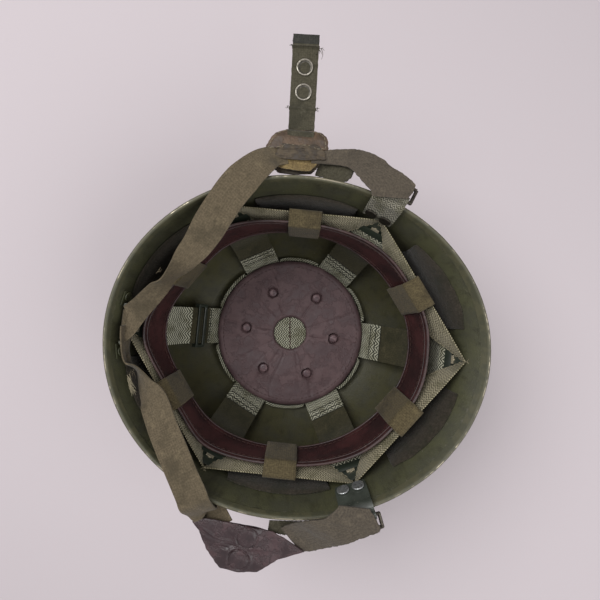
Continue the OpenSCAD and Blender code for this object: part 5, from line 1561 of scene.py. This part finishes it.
def build_frays():
    """Threads worked loose. Each spot has its place, the way they lie, their length, their number
    and how far they fan out."""
    rng = random.Random(7)
    closing = [(closing_pt((s * 9.6, y, 0.8)), -30 if s > 0 else 180, reach, 7, 50)
               for s, y, reach in ((1, 57.5, 9), (-1, 60, 2.4), (1, 14.6, 2.4), (-1, 14.6, 2.2))]
    webs = [(corner_top(i) + Vector((0, 0, 0.4)), wall_az(corner_angle(i)) + 180, 6, 4, 50)
            for i in range(6)]
    curl = [(Vector((-117, -20, 152)), -100, 7, 5, 50), (Vector((-112, -31, 152)), -75, 6, 5, 50),
            (Vector((-104, 32, 160)), 40, 5, 4, 50), (Vector((-98, 44, 162)), 50, 5, 4, 50)]
    # The rear left strap's edge is worn through to pale threads along a ridge
    ridge = [(Vector((-113.7 + 1.4 * k, -33.7 - 2.7 * k, 156.4 + 0.3 * k)), -62, 9, 7, 9)
             for k in range(4)]
    groups = (("root", "herringbone", webs, "thread"),
              ("closing", "strap_webbing", closing, "dark strap"),
              ("harness_left", "strap_webbing", curl[:2], "strap"),
              ("harness_left", "strap_webbing", ridge, "thread"),
              ("harness_right", "strap_webbing", curl[2:], "strap"))
    for body, slot, spots, material in groups:
        bm = bmesh.new()
        for start, way, reach, count, fan in spots:
            for k in range(count):
                a = radians(way + rng.uniform(-fan, fan))
                bend = rng.uniform(-1.6, 1.6) * fan / 50
                length = rng.uniform(0.35, 1.0) * reach
                at = start + Vector([rng.uniform(-1.5, 1.5) for axis in range(2)] + [0])
                points = [at]
                for s in range(1, 7):
                    turn = a + bend * s / 6
                    points.append(points[-1] + Vector((cos(turn), sin(turn),
                                                       0.25 * sin(s * 1.3 + k))) * (length / 6))
                tube(bm, points, lambda f: 0.24 * (1 - 0.6 * f), sides=4)
        piece = made(bm, f"frayed_{material}_{body}".replace(" ", "_"), [finish(material)])
        dress(piece, body, slot)


# Stage
# The photograph's camera: its place in metres, its turn, its lens on a sensor 36 mm wide and the
# shift of the picture's middle. Then the lamps' places in metres and their widths, half the
# floor's width and the strength of the sky's light.
CAMERA_AT, CAMERA_TURN, CAMERA_LENS, CAMERA_SHIFT = (0.0052, 0.0340, 0.486), 5.8, 27.0, 0.0025
KEY_AT, KEY_WIDTH = (-0.55, 0.35, 1.15), 0.9
FILL_AT, FILL_WIDTH = (0.8, -0.4, 1.0), 1.1
FLOOR_HALF, SKY_STRENGTH = 3.0, 0.45


def build_stage():
    """Floor, lamps, sky and the photograph's camera"""
    scene = bpy.context.scene
    sizes = scene.helmet_sizes
    bm = bmesh.new()
    bmesh.ops.create_grid(bm, x_segments=1, y_segments=1, size=FLOOR_HALF)
    floor = made(bm, "floor", [finish("floor")])

    camera = bpy.data.cameras.new("photograph")
    camera.lens = CAMERA_LENS
    camera.sensor_width = 36.0
    camera.sensor_fit = "HORIZONTAL"
    camera.shift_x = CAMERA_SHIFT
    camera.clip_start = 0.01
    eye = bpy.data.objects.new("photograph", camera)
    scene.collection.objects.link(eye)
    eye.location = CAMERA_AT
    eye.rotation_euler = (0, 0, radians(CAMERA_TURN))
    scene.camera = eye

    world = bpy.data.worlds.new("studio")
    scene.world = world
    world.use_nodes = True
    tree = world.node_tree
    soft = tree.nodes["Background"]
    soft.inputs[0].default_value = linear("#f2f2f2")
    soft.inputs[1].default_value = SKY_STRENGTH
    # What the camera and the metal see beyond the floor is as pale as the floor
    pale = node(tree, "Background", {"Color": linear("#cdc5c9"), "Strength": 1.0})
    camera_ray = node(tree, "LightPath", out="Is Camera Ray")
    glossy_ray = camera_ray.node.outputs["Is Glossy Ray"]
    seen = node(tree, "Math", {0: camera_ray, 1: glossy_ray}, operation="MAXIMUM")
    sky = node(tree, "MixShader", {0: seen, 1: soft.outputs[0], 2: pale})
    tree.links.new(sky, tree.nodes["World Output"].inputs[0])
    for name, where, size, watts in (("key", KEY_AT, KEY_WIDTH, sizes.key_watts),
                                     ("fill", FILL_AT, FILL_WIDTH, sizes.fill_watts)):
        lamp = bpy.data.lights.new(name, "AREA")
        lamp.shape = "DISK"
        lamp.size = size
        lamp.energy = watts
        ob = bpy.data.objects.new(name, lamp)
        scene.collection.objects.link(ob)
        ob.location = where
        ob.rotation_euler = (Vector((0, 0, 0.1)) - Vector(where)).to_track_quat("-Z", "Y").to_euler()
    scene.view_settings.view_transform = "Standard"


# Add-on
class HelmetColours(bpy.types.PropertyGroup):
    """Colours of the helmet's finishes"""
    paint: FloatVectorProperty(name="Paint", description="Olive enamel of the shell", size=4,
                               subtype="COLOR", min=0, max=1, default=linear("#464632"))
    # Shaded paint is painted shade: the enamel drawn darker deep in the bowl, where shade falls
    shaded_paint: FloatVectorProperty(name="Shaded paint inside", description="Enamel drawn darker down in the crown as painted shade",
                                    size=4, subtype="COLOR", min=0, max=1, default=linear("#3d3b26"))
    # Bare steel is the crest's pale colour: worn steel, and partly a painted highlight for the rim's
    # glints
    bare_steel: FloatVectorProperty(name="Bare steel and glints", description="Edging where its paint is gone, also painted glints",
                                    size=4, subtype="COLOR", min=0, max=1, default=linear("#a89f8c"))


class HelmetSizes(bpy.types.PropertyGroup):
    """Power of the stage's lamps"""
    key_watts: FloatProperty(name="Key lamp", description="Power of the stronger lamp", default=14.0,
                             min=0, unit="POWER")
    fill_watts: FloatProperty(name="Fill lamp", description="Power of the weaker lamp", default=9.0,
                              min=0, unit="POWER")


class HELMET_OT_stage(bpy.types.Operator):
    """Makes the floor, the lamps and the photograph's camera"""
    bl_idname = "helmet.stage"
    bl_label = "Stage"

    def execute(self, context):
        build_stage()
        return {"FINISHED"}


class HELMET_OT_shell(bpy.types.Operator):
    """Makes the pressed shell and the edging round its rim"""
    bl_idname = "helmet.shell"
    bl_label = "Shell and edging"

    def execute(self, context):
        build_shell()
        build_binding()
        return {"FINISHED"}


class HELMET_OT_felt(bpy.types.Operator):
    """Makes the felt pads on the wall"""
    bl_idname = "helmet.felt"
    bl_label = "Felt pads"

    def execute(self, context):
        build_felt()
        return {"FINISHED"}


class HELMET_OT_web(bpy.types.Operator):
    """Makes the six sides of the head web and the loops round them"""
    bl_idname = "helmet.web"
    bl_label = "Head web and loops"

    def execute(self, context):
        build_web()
        build_loops()
        return {"FINISHED"}


class HELMET_OT_sweatband(bpy.types.Operator):
    """Makes the leather sweatband with its piping and stitches"""
    bl_idname = "helmet.sweatband"
    bl_label = "Sweatband"

    def execute(self, context):
        build_sweatband()
        return {"FINISHED"}


class HELMET_OT_crown(bpy.types.Operator):
    """Makes the crown straps, the backing and the leather crown pad"""
    bl_idname = "helmet.crown"
    bl_label = "Crown suspension"

    def execute(self, context):
        build_crown_straps()
        build_backing()
        build_crown_pad()
        return {"FINISHED"}


class HELMET_OT_tabs(bpy.types.Operator):
    """Makes the webbing tabs and the folds round the rings and the rear bracket"""
    bl_idname = "helmet.tabs"
    bl_label = "Tabs and folds"

    def execute(self, context):
        build_tabs()
        build_rear_fold()
        return {"FINISHED"}


class HELMET_OT_hardware(bpy.types.Operator):
    """Gives the plates, rivets, rings, bracket and slide their rounded edges and metals"""
    bl_idname = "helmet.hardware"
    bl_label = "Metal fittings"

    def execute(self, context):
        build_hardware()
        return {"FINISHED"}


class HELMET_OT_harness(bpy.types.Operator):
    """Makes the chin straps of both halves"""
    bl_idname = "helmet.harness"
    bl_label = "Chin straps"

    def execute(self, context):
        build_harness()
        return {"FINISHED"}


class HELMET_OT_cup(bpy.types.Operator):
    """Makes the chin cup with its lining and the closing strap with its snap rings"""
    bl_idname = "helmet.cup"
    bl_label = "Chin cup and closing strap"

    def execute(self, context):
        build_cup()
        build_closing()
        return {"FINISHED"}


class HELMET_OT_stud_plate(bpy.types.Operator):
    """Makes the leather stud plate with its two bosses"""
    bl_idname = "helmet.stud_plate"
    bl_label = "Stud plate"

    def execute(self, context):
        build_stud_plate()
        return {"FINISHED"}


class HELMET_OT_frays(bpy.types.Operator):
    """Makes the frayed threads at the webbing's cut ends and corners"""
    bl_idname = "helmet.frays"
    bl_label = "Frayed threads"

    def execute(self, context):
        build_frays()
        return {"FINISHED"}


OPERATORS = (HELMET_OT_stage, HELMET_OT_shell, HELMET_OT_felt, HELMET_OT_web, HELMET_OT_sweatband,
             HELMET_OT_crown, HELMET_OT_tabs, HELMET_OT_hardware, HELMET_OT_harness, HELMET_OT_cup,
             HELMET_OT_stud_plate, HELMET_OT_frays)


class HELMET_PT_panel(bpy.types.Panel):
    """Lists the helmet's pieces, sizes and colours"""
    bl_idname = "HELMET_PT_panel"
    bl_label = "Helmet"
    bl_space_type = "VIEW_3D"
    bl_region_type = "UI"
    bl_category = "Helmet"

    def draw(self, context):
        for group in (context.scene.helmet_sizes, context.scene.helmet_colours):
            for key in group.__annotations__:
                self.layout.prop(group, key)
        for operator in OPERATORS:
            self.layout.operator(operator.bl_idname)


CLASSES = (HelmetColours, HelmetSizes) + OPERATORS + (HELMET_PT_panel,)


def register():
    for cls in CLASSES:
        bpy.utils.register_class(cls)
    bpy.types.Scene.helmet_colours = PointerProperty(type=HelmetColours)
    bpy.types.Scene.helmet_sizes = PointerProperty(type=HelmetSizes)


def unregister():
    del bpy.types.Scene.helmet_sizes
    del bpy.types.Scene.helmet_colours
    for cls in reversed(CLASSES):
        bpy.utils.unregister_class(cls)


def main():
    register()
    for operator in OPERATORS:
        group, name = operator.bl_idname.split(".")
        getattr(getattr(bpy.ops, group), name)()


if __name__ == "__main__":
    main()
